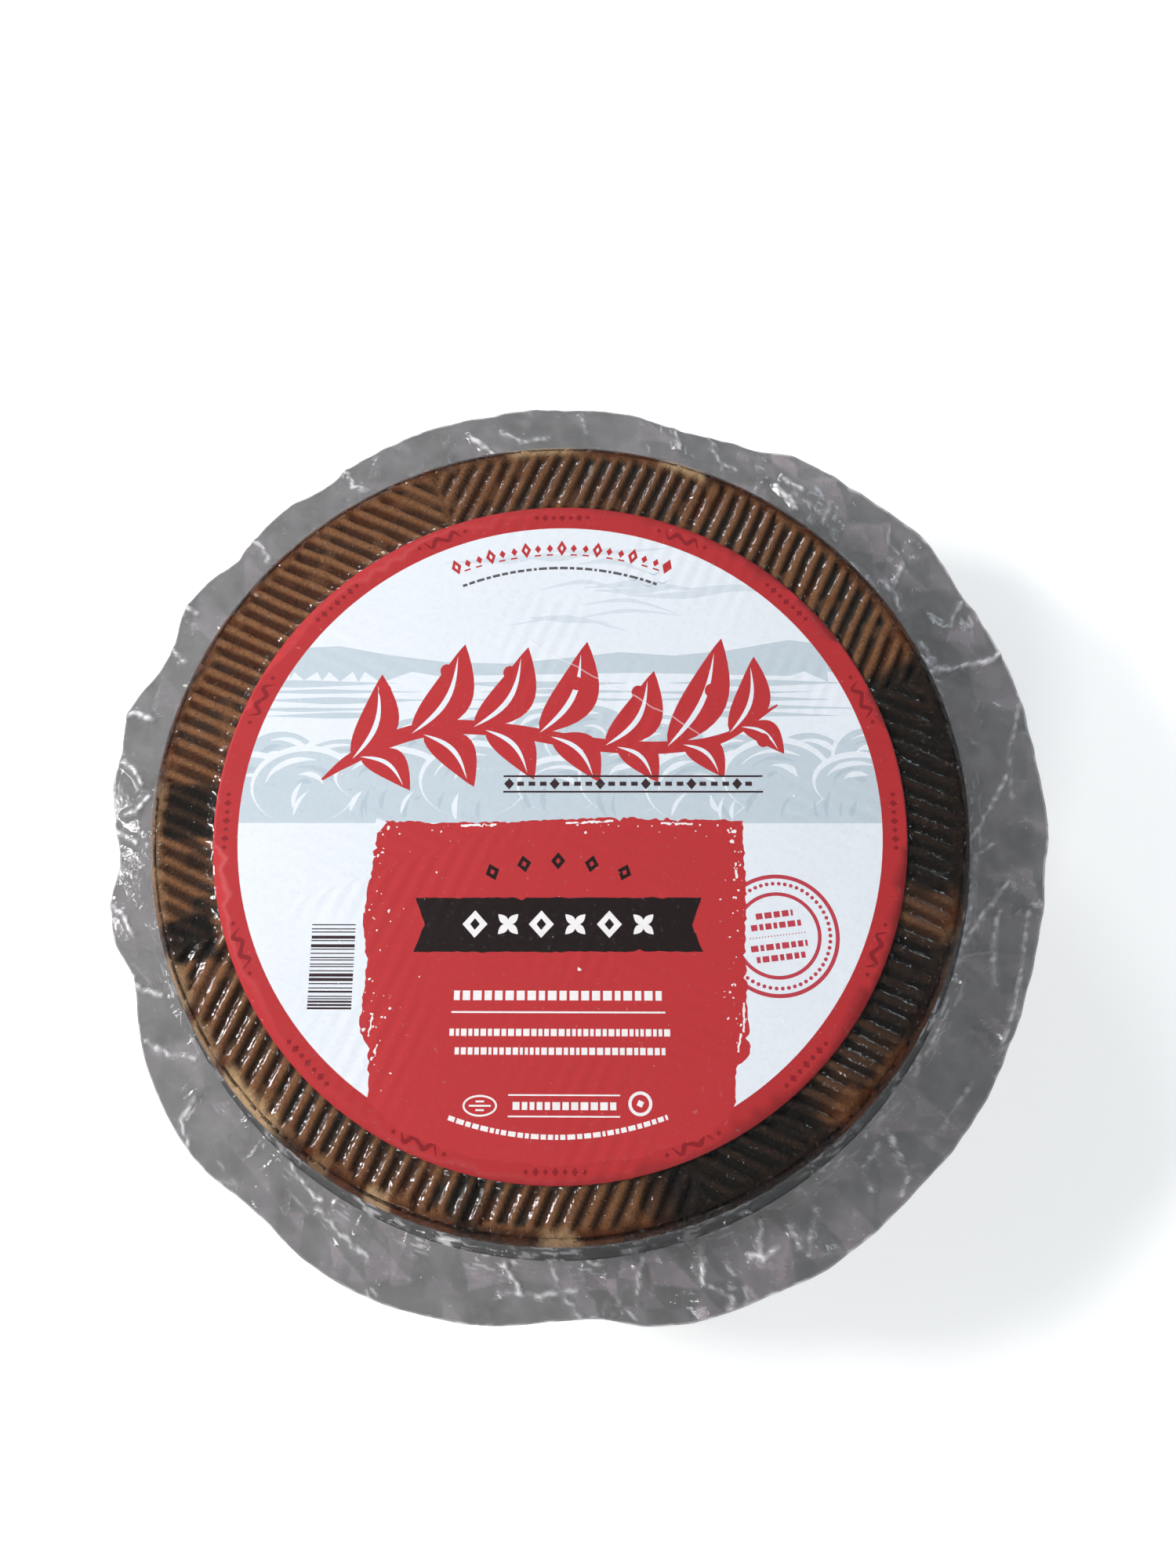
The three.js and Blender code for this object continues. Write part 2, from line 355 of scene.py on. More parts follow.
def make_wheel():
    rings, info = [], []      # info: groove, jitter, edge for each ring

    def face_ring(n, r, top):
        t, c, s = circle(n)
        x, y = r * c, r * s
        turn, mirror = (0.0, 1.0) if top else (31.0, -1.0)
        d, rough, groove, u, jit = face_height(x, y, turn, mirror)
        base = 0.0
        soft = 1.0
        if r > R - EDGE:
            q = (r - (R - EDGE)) / EDGE
            base = EDGE - math.sqrt(max(EDGE * EDGE - (r - (R - EDGE)) ** 2, 0))
            soft = 1 - sstep(0.3, 0.9, np.array(q))
        z = (Z1 - base - d * soft + rough * 0.5 - 0.05) if top else (Z0 + base + d * soft - rough * 0.5 + 0.05)
        if not top:
            # the underside rests flat on its crests
            z = np.maximum(z, Z0)
        else:
            z = np.minimum(z, Z1)
        rings.append(np.stack([x, y, z], 1))
        info.append((groove * soft, jit, np.zeros(n), z * 0))

    def side_ring(n, ang_r, z, nr=1.0):
        t, c, s = circle(n)
        arc = t * R
        d, rough, groove = side_height(arc, np.full(n, z))
        lim = sstep(Z0 + 3.0, Z0 + 6.5, np.array(z)) * (1 - sstep(Z1 - 6.5, Z1 - 3.0, np.array(z)))
        rr = np.minimum(ang_r - d * lim + rough * 0.5 - 0.05, R)
        rings.append(np.stack([rr * c, rr * s, np.full(n, z)], 1))
        info.append((groove * lim, np.zeros(n), np.full(n, 8.0), z * np.ones(n)))

    # top face, centre outwards
    for r, n in [(2, 60), (8, 60), (14, 60), (20, 120), (28, 120), (36, 240), (44, 240), (52, 240), (60, 240), (66, 240),
                 (72, 240), (77, 240), (81, 240), (83.5, 1200)]:
        face_ring(n, r, True)
    for r in np.arange(84.3, 104.01, 0.9):
        face_ring(1200, float(r), True)
    # rounded rim, side, rounded rim
    for a in (62, 48, 34, 20, 8):
        q = math.radians(a)
        side_ring(1200, R - EDGE + EDGE * math.cos(q), Z1 - EDGE + EDGE * math.sin(q))
    for z in np.arange(Z1 - EDGE - 1.0, Z0 + EDGE + 0.9, -2.62):
        side_ring(1200, R, float(z))
    for a in (8, 20, 34, 48, 62):
        q = math.radians(a)
        side_ring(600, R - EDGE + EDGE * math.cos(q), Z0 + EDGE - EDGE * math.sin(q))
    # underside, outwards in
    for r in np.arange(103.4, 66, -1.5):
        face_ring(600, float(r), False)
    for r in np.arange(65.5, 40, -1.7):
        face_ring(300, float(r), False)
    for r in np.arange(39, 19, -1.8):
        face_ring(300, float(r), False)
    for r in (17.5, 14.5, 11.5, 8.5, 5.5, 2.5):
        face_ring(100, r, False)
    ob, co = rings_mesh("cheese_wheel_rind", rings)
    groove = np.concatenate([i[0] for i in info] + [np.zeros(len(co) - sum(len(i[0]) for i in info))])
    jit = np.concatenate([i[1] for i in info] + [np.zeros(len(co) - sum(len(i[1]) for i in info))])
    x, y, z = co.T
    top = z > Z1 - 12
    col_top = rind_colour(x, y, groove, jit, 0, "top")
    # the side and the underside wrap their own patches: use the arc and height as the plane
    th = np.arctan2(y, x)
    r = np.hypot(x, y)
    flat = z < Z0 + 3
    sx, sy = np.where(flat, x, r * th), np.where(flat, y, z * 1.2)
    col_side = rind_colour(x, y, groove, jit, 0, "side")
    m = 0.5 + 0.5 * fbm(sx / 16, sy / 16, 4, 201)
    m2 = 0.5 + 0.5 * fbm(sx / 6, sy / 6, 3, 211)
    crest = lin(134, 88, 54)[None] * (0.62 + 0.7 * m[:, None])
    gcol = lin(46, 25, 13)[None] * (0.7 + 0.7 * m2[:, None])
    g = np.clip(groove * 1.2, 0, 1)[:, None]
    side = crest * (1 - g) + gcol * g
    w = (sstep(0.60, 0.72, 0.5 + 0.5 * fbm(sx / 38, sy / 26, 4, 221)) * 0.9)[:, None]
    side = side * (1 - w) + lin(34, 28, 23)[None] * w
    w = (sstep(0.66, 0.74, 0.5 + 0.5 * fbm(sx / 22 + 40, sy / 14, 3, 231)) * 0.32)[:, None]
    side = side * (1 - w) + lin(150, 118, 80)[None] * w
    w = sstep(Z1 - 9, Z1 - 2.5, z)[:, None]
    col = side * (1 - w) + col_top * w
    attribute(ob, "rind", np.clip(col, 0, 1), "FLOAT_COLOR")
    attribute(ob, "groove", groove)
    attribute(ob, "wet", sstep(98.6, 101.4, r + 1.2 * noise(x / 4, y / 4, 241)) * sstep(Z1 - 9, Z1 - 5, z))
    return ob


# ------------------------------------------------------------------ node helper
class Nodes:
    """Small helper that writes shader nodes from expressions."""

    def __init__(self, mat):
        mat.use_nodes = True
        self.nt = mat.node_tree
        self.nt.nodes.clear()

    def node(self, kind, **props):
        n = self.nt.nodes.new(kind)
        for k, v in props.items():
            setattr(n, k, v)
        return n

    def link(self, a, b):
        self.nt.links.new(a, b)

    def put(self, socket, value):
        if isinstance(value, V):
            value = value.s
        if hasattr(value, "links") or isinstance(value, bpy.types.NodeSocket):
            self.link(value, socket)
        else:
            socket.default_value = value

    def math(self, op, *args, clamp=False):
        n = self.node("ShaderNodeMath", operation=op, use_clamp=clamp)
        for i, a in enumerate(args):
            self.put(n.inputs[i], a)
        return V(self, n.outputs[0])

    def xyz(self, socket):
        n = self.node("ShaderNodeSeparateXYZ")
        self.link(socket, n.inputs[0])
        return [V(self, o) for o in n.outputs]

    def vec(self, x, y, z=0.0):
        n = self.node("ShaderNodeCombineXYZ")
        for i, a in enumerate((x, y, z)):
            self.put(n.inputs[i], a)
        return n.outputs[0]

    def noise(self, vector, scale=1.0, detail=2.0, rough=0.5, distortion=0.0):
        n = self.node("ShaderNodeTexNoise")
        n.noise_dimensions = "3D"
        self.link(vector, n.inputs["Vector"])
        n.inputs["Scale"].default_value = scale
        n.inputs["Detail"].default_value = detail
        n.inputs["Roughness"].default_value = rough
        n.inputs["Distortion"].default_value = distortion
        return V(self, n.outputs["Fac"])

    def mix(self, fac, a, b):
        n = self.node("ShaderNodeMix", data_type="RGBA")
        self.put(n.inputs[0], fac)
        for i, c in ((6, a), (7, b)):
            if isinstance(c, (tuple, list, np.ndarray)):
                n.inputs[i].default_value = (*[float(q) for q in c[:3]], 1.0)
            else:
                self.link(c, n.inputs[i])
        return n.outputs[2]

    def step(self, a, b, x):
        n = self.node("ShaderNodeMapRange", interpolation_type="SMOOTHSTEP")
        self.put(n.inputs[0], x)
        self.put(n.inputs[1], a)
        self.put(n.inputs[2], b)
        return V(self, n.outputs[0])


class V:
    def __init__(self, g, s):
        self.g, self.s = g, s

    def __add__(self, o): return self.g.math("ADD", self, o)
    def __radd__(self, o): return self.g.math("ADD", o, self)
    def __sub__(self, o): return self.g.math("SUBTRACT", self, o)
    def __rsub__(self, o): return self.g.math("SUBTRACT", o, self)
    def __mul__(self, o): return self.g.math("MULTIPLY", self, o)
    def __rmul__(self, o): return self.g.math("MULTIPLY", o, self)
    def __truediv__(self, o): return self.g.math("DIVIDE", self, o)
    def __neg__(self): return self.g.math("MULTIPLY", self, -1.0)
    def __abs__(self): return self.g.math("ABSOLUTE", self)
    def sqrt(self): return self.g.math("SQRT", self)
    def sin(self): return self.g.math("SINE", self)
    def max(self, o): return self.g.math("MAXIMUM", self, o)
    def min(self, o): return self.g.math("MINIMUM", self, o)
    def mod(self, m): return self.g.math("FLOORED_MODULO", self, m)
    def floor(self): return self.g.math("FLOOR", self)
    def below(self, edge, soft=0.07):
        """1 where the value is under edge, with a soft step."""
        return self.g.math("SUBTRACT", 1.0, self.g.step(edge - soft if not isinstance(edge, V) else edge - soft, edge + soft, self))


def coords_mm(g):
    """Object coordinates in mm."""
    tc = g.node("ShaderNodeTexCoord")
    sc = g.node("ShaderNodeVectorMath", operation="SCALE")
    g.link(tc.outputs["Object"], sc.inputs[0])
    sc.inputs[3].default_value = 1000.0
    return sc.outputs[0]


def principled(g, **values):
    p = g.node("ShaderNodeBsdfPrincipled")
    for k, v in values.items():
        s = p.inputs[k.replace("_", " ")]
        if isinstance(v, (tuple, list, np.ndarray)):
            v = tuple(float(q) for q in v)
            s.default_value = (*v[:3], 1.0) if len(s.default_value) == 4 else v
        elif isinstance(v, (int, float)):
            s.default_value = v
        else:
            g.put(s, v)
    out = g.node("ShaderNodeOutputMaterial")
    g.link(p.outputs[0], out.inputs["Surface"])
    return p, out


def bump(g, height, strength, distance):
    b = g.node("ShaderNodeBump")
    b.inputs["Strength"].default_value = strength
    b.inputs["Distance"].default_value = distance
    g.put(b.inputs["Height"], height)
    return b.outputs[0]


def rind_material():
    m = bpy.data.materials.new("rind")
    g = Nodes(m)
    p = coords_mm(g)
    a = g.node("ShaderNodeAttribute", attribute_name="rind")
    gr = g.node("ShaderNodeAttribute", attribute_name="groove")
    groove = V(g, gr.outputs["Fac"])
    fine = g.noise(p, 1.4, 6, 0.65)
    speck = g.noise(p, 0.55, 3, 0.6, 0.6)
    scale = 0.50 + 1.0 * fine
    mul = g.node("ShaderNodeVectorMath", operation="SCALE")
    g.link(a.outputs["Color"], mul.inputs[0])
    g.put(mul.inputs[3], scale)
    col = mul.outputs[0]
    # dry light specks on the crests and dark pits
    pits = g.noise(p, 1.05, 2, 0.5)
    dark = g.step(0.66, 0.74, pits) * 0.75
    col = g.mix(dark, col, lin(36, 22, 14))
    bloom = g.step(0.60, 0.78, speck) * (1.0 - groove) * 0.30
    col = g.mix(bloom, col, lin(150, 122, 96))
    grain = g.noise(p, 0.75, 5, 0.72)
    col = g.mix(g.step(0.50, 0.66, grain) * 0.42 * (1.0 - groove), col, lin(70, 42, 28))
    wet = V(g, g.node("ShaderNodeAttribute", attribute_name="wet").outputs["Fac"])
    rough = (0.34 + 0.3 * fine) * (1.0 - 0.66 * wet)
    pr, out = principled(g, Base_Color=col, Roughness=rough, IOR=1.45)
    g.put(pr.inputs["Specular IOR Level"], 0.08 - 0.035 * wet)
    g.link(bump(g, fine + 0.8 * pits + grain, 0.8, 0.0006), pr.inputs["Normal"])
    return m


# ------------------------------------------------------------------ the label and its print
RED = (188, 55, 58)
DARKRED = (140, 36, 42)
PALE = (230, 234, 240)
MIST = (196, 207, 215)
MIST2 = (184, 197, 207)
BLACK = (36, 26, 26)
WHITE = (243, 238, 238)
GREY = (92, 88, 92)
DARK = (60, 44, 48)


def arc_pts(cx, cy, r, a0, a1, n):
    t = np.radians(np.linspace(a0, a1, n))
    return np.stack([cx + r * np.cos(t), cy + r * np.sin(t)], 1)


def disc_pts(cx, cy, rx, ry=None, n=24, turn=0.0):
    ry = rx if ry is None else ry
    t = np.arange(n) / n * 2 * math.pi
    x, y = rx * np.cos(t), ry * np.sin(t)
    a = math.radians(turn)
    return np.stack([cx + x * math.cos(a) - y * math.sin(a), cy + x * math.sin(a) + y * math.cos(a)], 1)


def diamond(cx, cy, w, h, turn=0.0):
    return disc_pts(cx, cy, w / 2, h / 2, 4, turn)


def bar_pts(cx, cy, w, h, turn=0.0):
    a = math.radians(turn)
    p = np.array([[-w / 2, -h / 2], [w / 2, -h / 2], [w / 2, h / 2], [-w / 2, h / 2]])
    return np.stack([cx + p[:, 0] * math.cos(a) - p[:, 1] * math.sin(a), cy + p[:, 0] * math.sin(a) + p[:, 1] * math.cos(a)], 1)


def spline(points, n):
    """Smooth curve through the points."""
    p = np.asarray(points, float)
    p = np.concatenate([2 * p[:1] - p[1:2], p, 2 * p[-1:] - p[-2:-1]])
    out = []
    segs = len(p) - 3
    per = max(2, n // segs)
    for i in range(segs):
        t = np.linspace(0, 1, per, endpoint=(i == segs - 1))[:, None]
        a, b, c, d = p[i:i + 4]
        out.append(0.5 * ((2 * b) + (c - a) * t + (2 * a - 5 * b + 4 * c - d) * t**2 + (3 * b - a - 3 * c + d) * t**3))
    return np.concatenate(out)


def stroke(points, widths, n=26):
    """A brush stroke: a curve with a width that varies along it, closed to points or blunt ends."""
    c = spline(points, n)
    d = np.gradient(c, axis=0)
    d /= np.linalg.norm(d, axis=1)[:, None] + 1e-9
    nrm = np.stack([-d[:, 1], d[:, 0]], 1)
    s = np.linspace(0, 1, len(c))
    w = np.interp(s, np.linspace(0, 1, len(widths)), widths)[:, None] / 2
    return np.concatenate([c + nrm * w, (c - nrm * w)[::-1]])


def leaf(x, y, length, width, turn, bend=0.18):
    a = math.radians(turn)
    s = np.linspace(0, 1, 13)
    up = width / 2 * np.sin(np.pi * s**0.85) ** 0.9
    mid = bend * length * np.sin(np.pi * s)
    top = np.stack([s * length, mid + up], 1)
    low = np.stack([s * length, mid - up], 1)[::-1]
    p = np.concatenate([top, low[1:-1]])
    return np.stack([x + p[:, 0] * math.cos(a) - p[:, 1] * math.sin(a), y + p[:, 0] * math.sin(a) + p[:, 1] * math.cos(a)], 1)


def greeked(rng, x0, x1, y, h, lo, hi, gap_w, on_arc=None, turn=0.0, cx=0.0, cy=0.0):
    """A row of short plain bars where small print would be."""
    out, x = [], x0
    while x < x1 - lo * 0.5:
        w = min(rng.uniform(lo, hi), x1 - x)
        if on_arc:
            ax, ay, r, up = on_arc
            a = 90 + (-(x + w / 2) / r * 180 / math.pi) * up if up > 0 else -90 + ((x + w / 2) / r * 180 / math.pi)
            px, py = ax + r * math.cos(math.radians(a)), ay + r * math.sin(math.radians(a))
            out.append(bar_pts(px, py, w, h, a - 90))
        else:
            a = math.radians(turn)
            mx = x + w / 2
            out.append(bar_pts(cx + mx * math.cos(a) - y * math.sin(a), cy + mx * math.sin(a) + y * math.cos(a), w, h, turn))
        x += w + gap_w
    return out


def ragged(points, amount, seed, step=0.9):
    """The same outline with a torn, brushed edge."""
    rng = np.random.default_rng(seed)
    out = []
    p = np.asarray(points, float)
    for a, b in zip(p, np.roll(p, -1, 0)):
        length = np.linalg.norm(b - a)
        k = max(1, int(length / step))
        d = (b - a) / (length + 1e-9)
        nrm = np.array([-d[1], d[0]])
        for i in range(k):
            q = a + (b - a) * (i / k)
            jit = rng.normal(0, amount) if 0 < i else 0
            if rng.uniform() < 0.05:
                jit += rng.uniform(0.5, 1.6)
            out.append(q + nrm * jit * 0.6)
    return np.array(out)


def label_layers():
    """Printed shapes from bottom to top, as (colour, outline) in mm about the wheel axis."""
    rng = np.random.default_rng(4)
    L = []
    cx, cy = LX, LY
    L.append((PALE, disc_pts(cx, cy, 81.3, n=160)))
    # landscape: sky streaks, far hills, fields, hedges
    for i in range(15):
        y = 47 + 26 * rng.uniform() ** 1.0
        x = rng.uniform(-45, 35)
        w = rng.uniform(14, 34)
        L.append((tuple(int(a) for a in np.array(PALE) * 0.55 + np.array(MIST) * 0.45),
                  stroke([(x, y), (x + w * 0.5, y + rng.uniform(-1, 2.5)), (x + w, y + rng.uniform(-3, 3))], [0.2, rng.uniform(1, 2.4), 0.2], 14)))
    hill = [(-90, 36), (-90, 41), (-70, 43.5), (-58, 44), (-45, 41.5), (-30, 39.5), (-14, 39.0), (2, 40.6), (16, 42.2), (30, 41.2),
            (44, 42.6), (60, 45.5), (74, 44), (90, 42), (90, 36.5), (60, 35.5), (20, 36.4), (-30, 35.6)]
    L.append((MIST, np.array(hill, float)))
    for i, (y, h) in enumerate(((33.6, 1.6), (31.2, 1.0), (29.0, 1.5), (26.6, 0.9), (24.6, 1.3))):
        for k in range(3):
            x = -84 + 54 * k + rng.uniform(-6, 10)
            L.append((MIST, stroke([(x, y), (x + 22, y + rng.uniform(-0.6, 0.6)), (x + 46, y)], [0.1, h * 1.4, 0.1], 12)))
    # rounded hedges standing on a straight line
    rng2 = np.random.default_rng(12)
    L.append((MIST, np.array([(-90, -3.9), (-90, 4), (90, 4), (90, -3.9)], float)))
    for row, (yc, hh, ww) in enumerate(((15.5, 8.0, 10.5), (6.5, 8.6, 11.5))):
        x = -86.0 + row * 7
        while x < 88:
            w = ww * rng2.uniform(0.8, 1.2)
            h = hh * rng2.uniform(0.8, 1.15)
            y = yc + rng2.uniform(-1.5, 1.5) + (3.5 * math.cos(x / 21) if row == 0 else 0)
            L.append((PALE, disc_pts(x, y + 0.8, w + 0.8, h + 0.8, 34)))
            L.append((MIST, disc_pts(x, y, w, h, 34)))
            for k in range(4):
                a0 = rng2.uniform(20, 120)
                f = 0.78 - 0.2 * k
                arc1 = arc_pts(0, 0, 1, a0 - 25, a0 + 70, 6) * np.array([w * f, h * f]) + np.array([x, y])
                L.append((PALE if k % 2 == 0 else MIST2, stroke(arc1, [0.2, rng2.uniform(0.9, 1.9), rng2.uniform(0.7, 1.5), 0.2], 18)))
            x += w * rng2.uniform(1.35, 1.7)
    for k in range(26):
        x = rng2.uniform(-84, 80)
        L.append((MIST2 if k % 3 else PALE, leaf(x, rng2.uniform(-3.4, 0.5), rng2.uniform(4, 8), rng2.uniform(0.8, 1.6), rng2.uniform(55, 120), 0.1)))
    L.append((PALE, np.array([(-90, -3.9), (90, -3.9), (90, -9), (-90, -9)], float)))
    # far birds
    for bx, by in ((19.5, 62.6), (23.6, 60.9), (27.3, 61.8), (25.0, 64.3)):
        L.append((MIST2, stroke([(bx - 1.5, by + 0.7), (bx, by), (bx + 1.6, by + 0.9)], [0.1, 0.5, 0.1], 8)))
    # border ring: from the disc's edge outwards (the ring itself is drawn by the test on radius)
    L.append((RED, "ring"))
    for k in range(16):
        a = 90 - 22.5 * k
        ar = math.radians(a)
        px, py = cx + 84.4 * math.cos(ar), cy + 84.4 * math.sin(ar)
        turn = a - 90
        tx, ty = -math.sin(ar), math.cos(ar)
        if k % 2 == 0:
            for j in range(-3, 4):
                L.append((DARKRED, diamond(px + tx * j * 2.3, py + ty * j * 2.3, 1.3 if j % 2 else 1.7, 1.5 if j % 2 else 2.2, turn)))
        else:
            q = []
            for j in np.linspace(-5, 5, 7):
                w = 1.2 * math.sin(j * 1.5)
                q.append((px + tx * j + math.cos(ar) * w, py + ty * j + math.sin(ar) * w))
            L.append((DARKRED, stroke(q, [0.2, 1.0, 1.3, 0.9, 1.3, 1.0, 0.2], 30)))
            L.append((DARKRED, diamond(px - tx * 6.6, py - ty * 6.6, 1.3, 1.3, turn)))
            L.append((DARKRED, diamond(px + tx * 6.6, py + ty * 6.6, 1.3, 1.3, turn)))
    # small row above the picture: red lozenges, then a fine grey dashed line
    for j in range(-9, 10):
        a = math.radians(90 - j * 2.45)
        px, py = cx + 75.2 * math.cos(a), cy + 75.2 * math.sin(a) + 0.2
        big = j % 3 == 0
        L.append((RED, diamond(px, py, 2.7 if big else 1.7, 4.6 if big else 2.4, math.degrees(a) - 90)))
        if big and j < 9:
            L.append((PALE, diamond(px, py, 0.9, 1.7, math.degrees(a) - 90)))
        if not big:
            L.append((RED, bar_pts(px, py - 1.9, 1.7, 0.45, math.degrees(a) - 90)))
    for p in greeked(rng, -27, 26, 0, 0.75, 0.6, 2.4, 0.55, on_arc=(cx, cy, 69.6, 1)):
        L.append((GREY, p))
    # the big flourish: a leafy sprig in bold brush strokes
    S = []
    S.append(stroke([(-60.5, 7.5), (-54, 12.5), (-44, 18), (-30, 21.5), (-12, 20.5), (8, 17), (26, 16), (42, 18.5), (56.5, 27.5)],
                    [0.6, 3.0, 4.2, 4.0, 3.6, 3.6, 3.4, 2.6, 0.5], 80))
    for lx, ly, ln, wd, tn, bd in (
        (-53, 13.0, 24, 10.4, 74, -0.14), (-51, 13.6, 16, 8.2, -34, 0.18), (-38, 19.8, 28, 11.4, 62, -0.14), (-35, 19.6, 19.5, 9.6, -46, 0.16),
        (-22, 21.6, 26, 11.0, 58, -0.16), (-19, 20.8, 18.5, 9.4, -46, 0.16), (-5, 20.0, 28, 11.4, 64, -0.14), (-2, 19.0, 17.5, 9.2, -44, 0.16),
        (12, 16.6, 24, 10.6, 58, -0.16), (15, 16.2, 14.0, 8.2, -42, 0.18), (28, 16.4, 33, 11.4, 64, -0.10), (32, 16.8, 13.5, 8.0, -40, 0.18),
        (44, 20, 22, 9.2, 72, -0.14), (47, 21.6, 13.0, 6.6, -34, 0.18),
    ):
        S.append(leaf(lx, ly, ln, wd, tn, bd))
        S.append(("vein", leaf(lx, ly, ln * 0.86, wd * 0.13, tn, bd)))
    for bx, by in ((-45.5, 31.5), (-29.5, 37.0), (-13.0, 36.5), (4.5, 33.5), (20.5, 31.0), (39.5, 31.5), (52.5, 18.0)):
        S.append(disc_pts(bx, by, 1.7, 1.9, 16))
    for s in S:
        if isinstance(s, tuple):
            L.append((PALE, s[1]))
        else:
            L.append((RED, s))
    # rule with lozenges under the flourish
    L.append((DARK, bar_pts(19, 4.3, 66, 0.5)))
    L.append((DARK, bar_pts(19, 8.4, 66, 0.5)))
    x, j = -12.5, 0
    while x < 51:
        if j % 4 == 0:
            L.append((DARK, diamond(x, 6.4, 2.6, 3.0)))
        else:
            L.append((DARK, bar_pts(x, 6.4, 1.7, 1.1)))
        x += 2.9
        j += 1
    # bar pattern at the left of the block
    y = -29.6
    while y > -50.4:
        h = rng.choice([0.28, 0.28, 0.5, 0.78])
        L.append((DARK, bar_pts(-55.1, y - h / 2, 10.8, h)))
        y -= h + rng.choice([0.30, 0.30, 0.5, 0.75])
    # round stamp, partly under the block
    sx, sy = 54.3, -32.2
    SR = (188, 66, 78)
    L.append((SR, disc_pts(sx, sy, 15.2, n=72)))
    L.append((PALE, disc_pts(sx, sy, 14.2, n=72)))
    for k in range(54):
        a = k / 54 * 2 * math.pi
        L.append((SR, disc_pts(sx + 12.9 * math.cos(a), sy + 12.9 * math.sin(a), 0.5, n=8)))
    L.append((SR, disc_pts(sx, sy, 10.75, n=60)))
    L.append((PALE, disc_pts(sx, sy, 9.85, n=60)))
    t = 7.0
    a = math.radians(t)
    for k in range(-9, 10):
        L.append((SR, disc_pts(sx + k * 0.75 * math.cos(a), sy + k * 0.75 * math.sin(a), 0.17, n=6)))
    for yy, half in ((5.2, 4.6), (2.5, 6.2), (-2.6, 7.0), (-5.4, 6.0)):
        for p in greeked(rng, -half, half, yy, 1.5, 0.9, 1.9, 0.5, turn=t, cx=sx, cy=sy):
            L.append((SR, p))
    # red brushed block with a torn edge, running down into the border
    block = ragged([(-43.5, -3.2), (-28, -3.8), (-8, -3.4), (12, -2.4), (33, -3.0), (46.6, -3.2), (46.8, -20), (46.2, -38), (46.6, -60.5), (43.2, -64),
                    (42.6, -73.5), (37, -79), (20, -84.5), (0, -86.5), (-20, -84.5), (-36, -79), (-44.6, -72), (-44.8, -60), (-47.6, -55), (-46.4, -40), (-48.0, -28), (-46.4, -14), (-45.6, -6.5)][::-1], 0.30, 9)
    L.append((RED, block))
    L.append((PALE, np.array([(-45.2, -6.3), (-46.6, -6.2), (-45.9, -2.6), (-43.2, -3.6)], float)))
    # worn specks where the brush skipped
    rs = np.random.default_rng(31)
    for k in range(105):
        side = rs.uniform()
        if side < 0.42:
            x, y = -47 + abs(rs.normal(0, 3.4)), rs.uniform(-70, -6)
        elif side < 0.72:
            x, y = 46 - abs(rs.normal(0, 2.6)), rs.uniform(-60, -5)
        elif side < 0.9:
            x, y = rs.uniform(-44, 45), -4.2 - abs(rs.normal(0, 1.8))
        else:
            x, y = rs.uniform(-44, 44), rs.uniform(-62, -8)
        sc = rs.uniform(0.10, 0.30) * (1.9 if rs.uniform() < 0.12 else 1)
        p = disc_pts(x, y, sc * rs.uniform(0.6, 1.6), sc, 6, rs.uniform(0, 90))
        p += rs.normal(0, sc * 0.22, p.shape)
        L.append((WHITE, p))
    for (x, y, ln, tn) in ((-44.8, -54, 5.5, 82), (-43.6, -60.5, 4, 70), (45.4, -52, 7, 88), (44.2, -58, 4.5, 80), (-46.6, -63, 3, 100), (44.6, -16, 4, 92), (-20, -4.4, 9, 2), (8, -3.6, 12, 3), (30, -4.0, 8, -1)):
        a = math.radians(tn)
        L.append((WHITE, ragged(bar_pts(x, y, ln, 0.5, tn), 0.22, int(x * 7 + y) % 97, 0.6)))
    # dark lozenges on an arc
    for k, x in enumerate((-16.2, -8.3, 0.2, 8.6, 16.8)):
        y = -13.6 - (x - 0.2) ** 2 / 95.0
        L.append((BLACK, diamond(x, y, 3.6, 4.4, -x * 1.3)))
        L.append((RED, diamond(x, y, 1.3, 1.6, -x * 1.3)))
    # ribbon
    rib = ragged([(-35.2, -23.0), (35.8, -22.8), (33.4, -29.6), (36.0, -36.2), (-35.2, -36.4), (-32.6, -29.8)][::-1], 0.14, 3, 1.2)
    L.append((BLACK, rib))
    for k, x in enumerate((-20.2, -12.0, -3.8, 4.6, 13.0, 21.4)):
        if k % 2 == 0:
            L.append((WHITE, diamond(x, -29.5, 6.2, 6.8)))
            L.append((BLACK, diamond(x, -29.5, 2.4, 2.9)))
        else:
            for j in range(4):
                L.append((WHITE, leaf(x, -29.5, 3.5, 1.9, 45 + 90 * j, 0.0)))
            L.append((WHITE, disc_pts(x, -29.5, 0.9, n=12)))
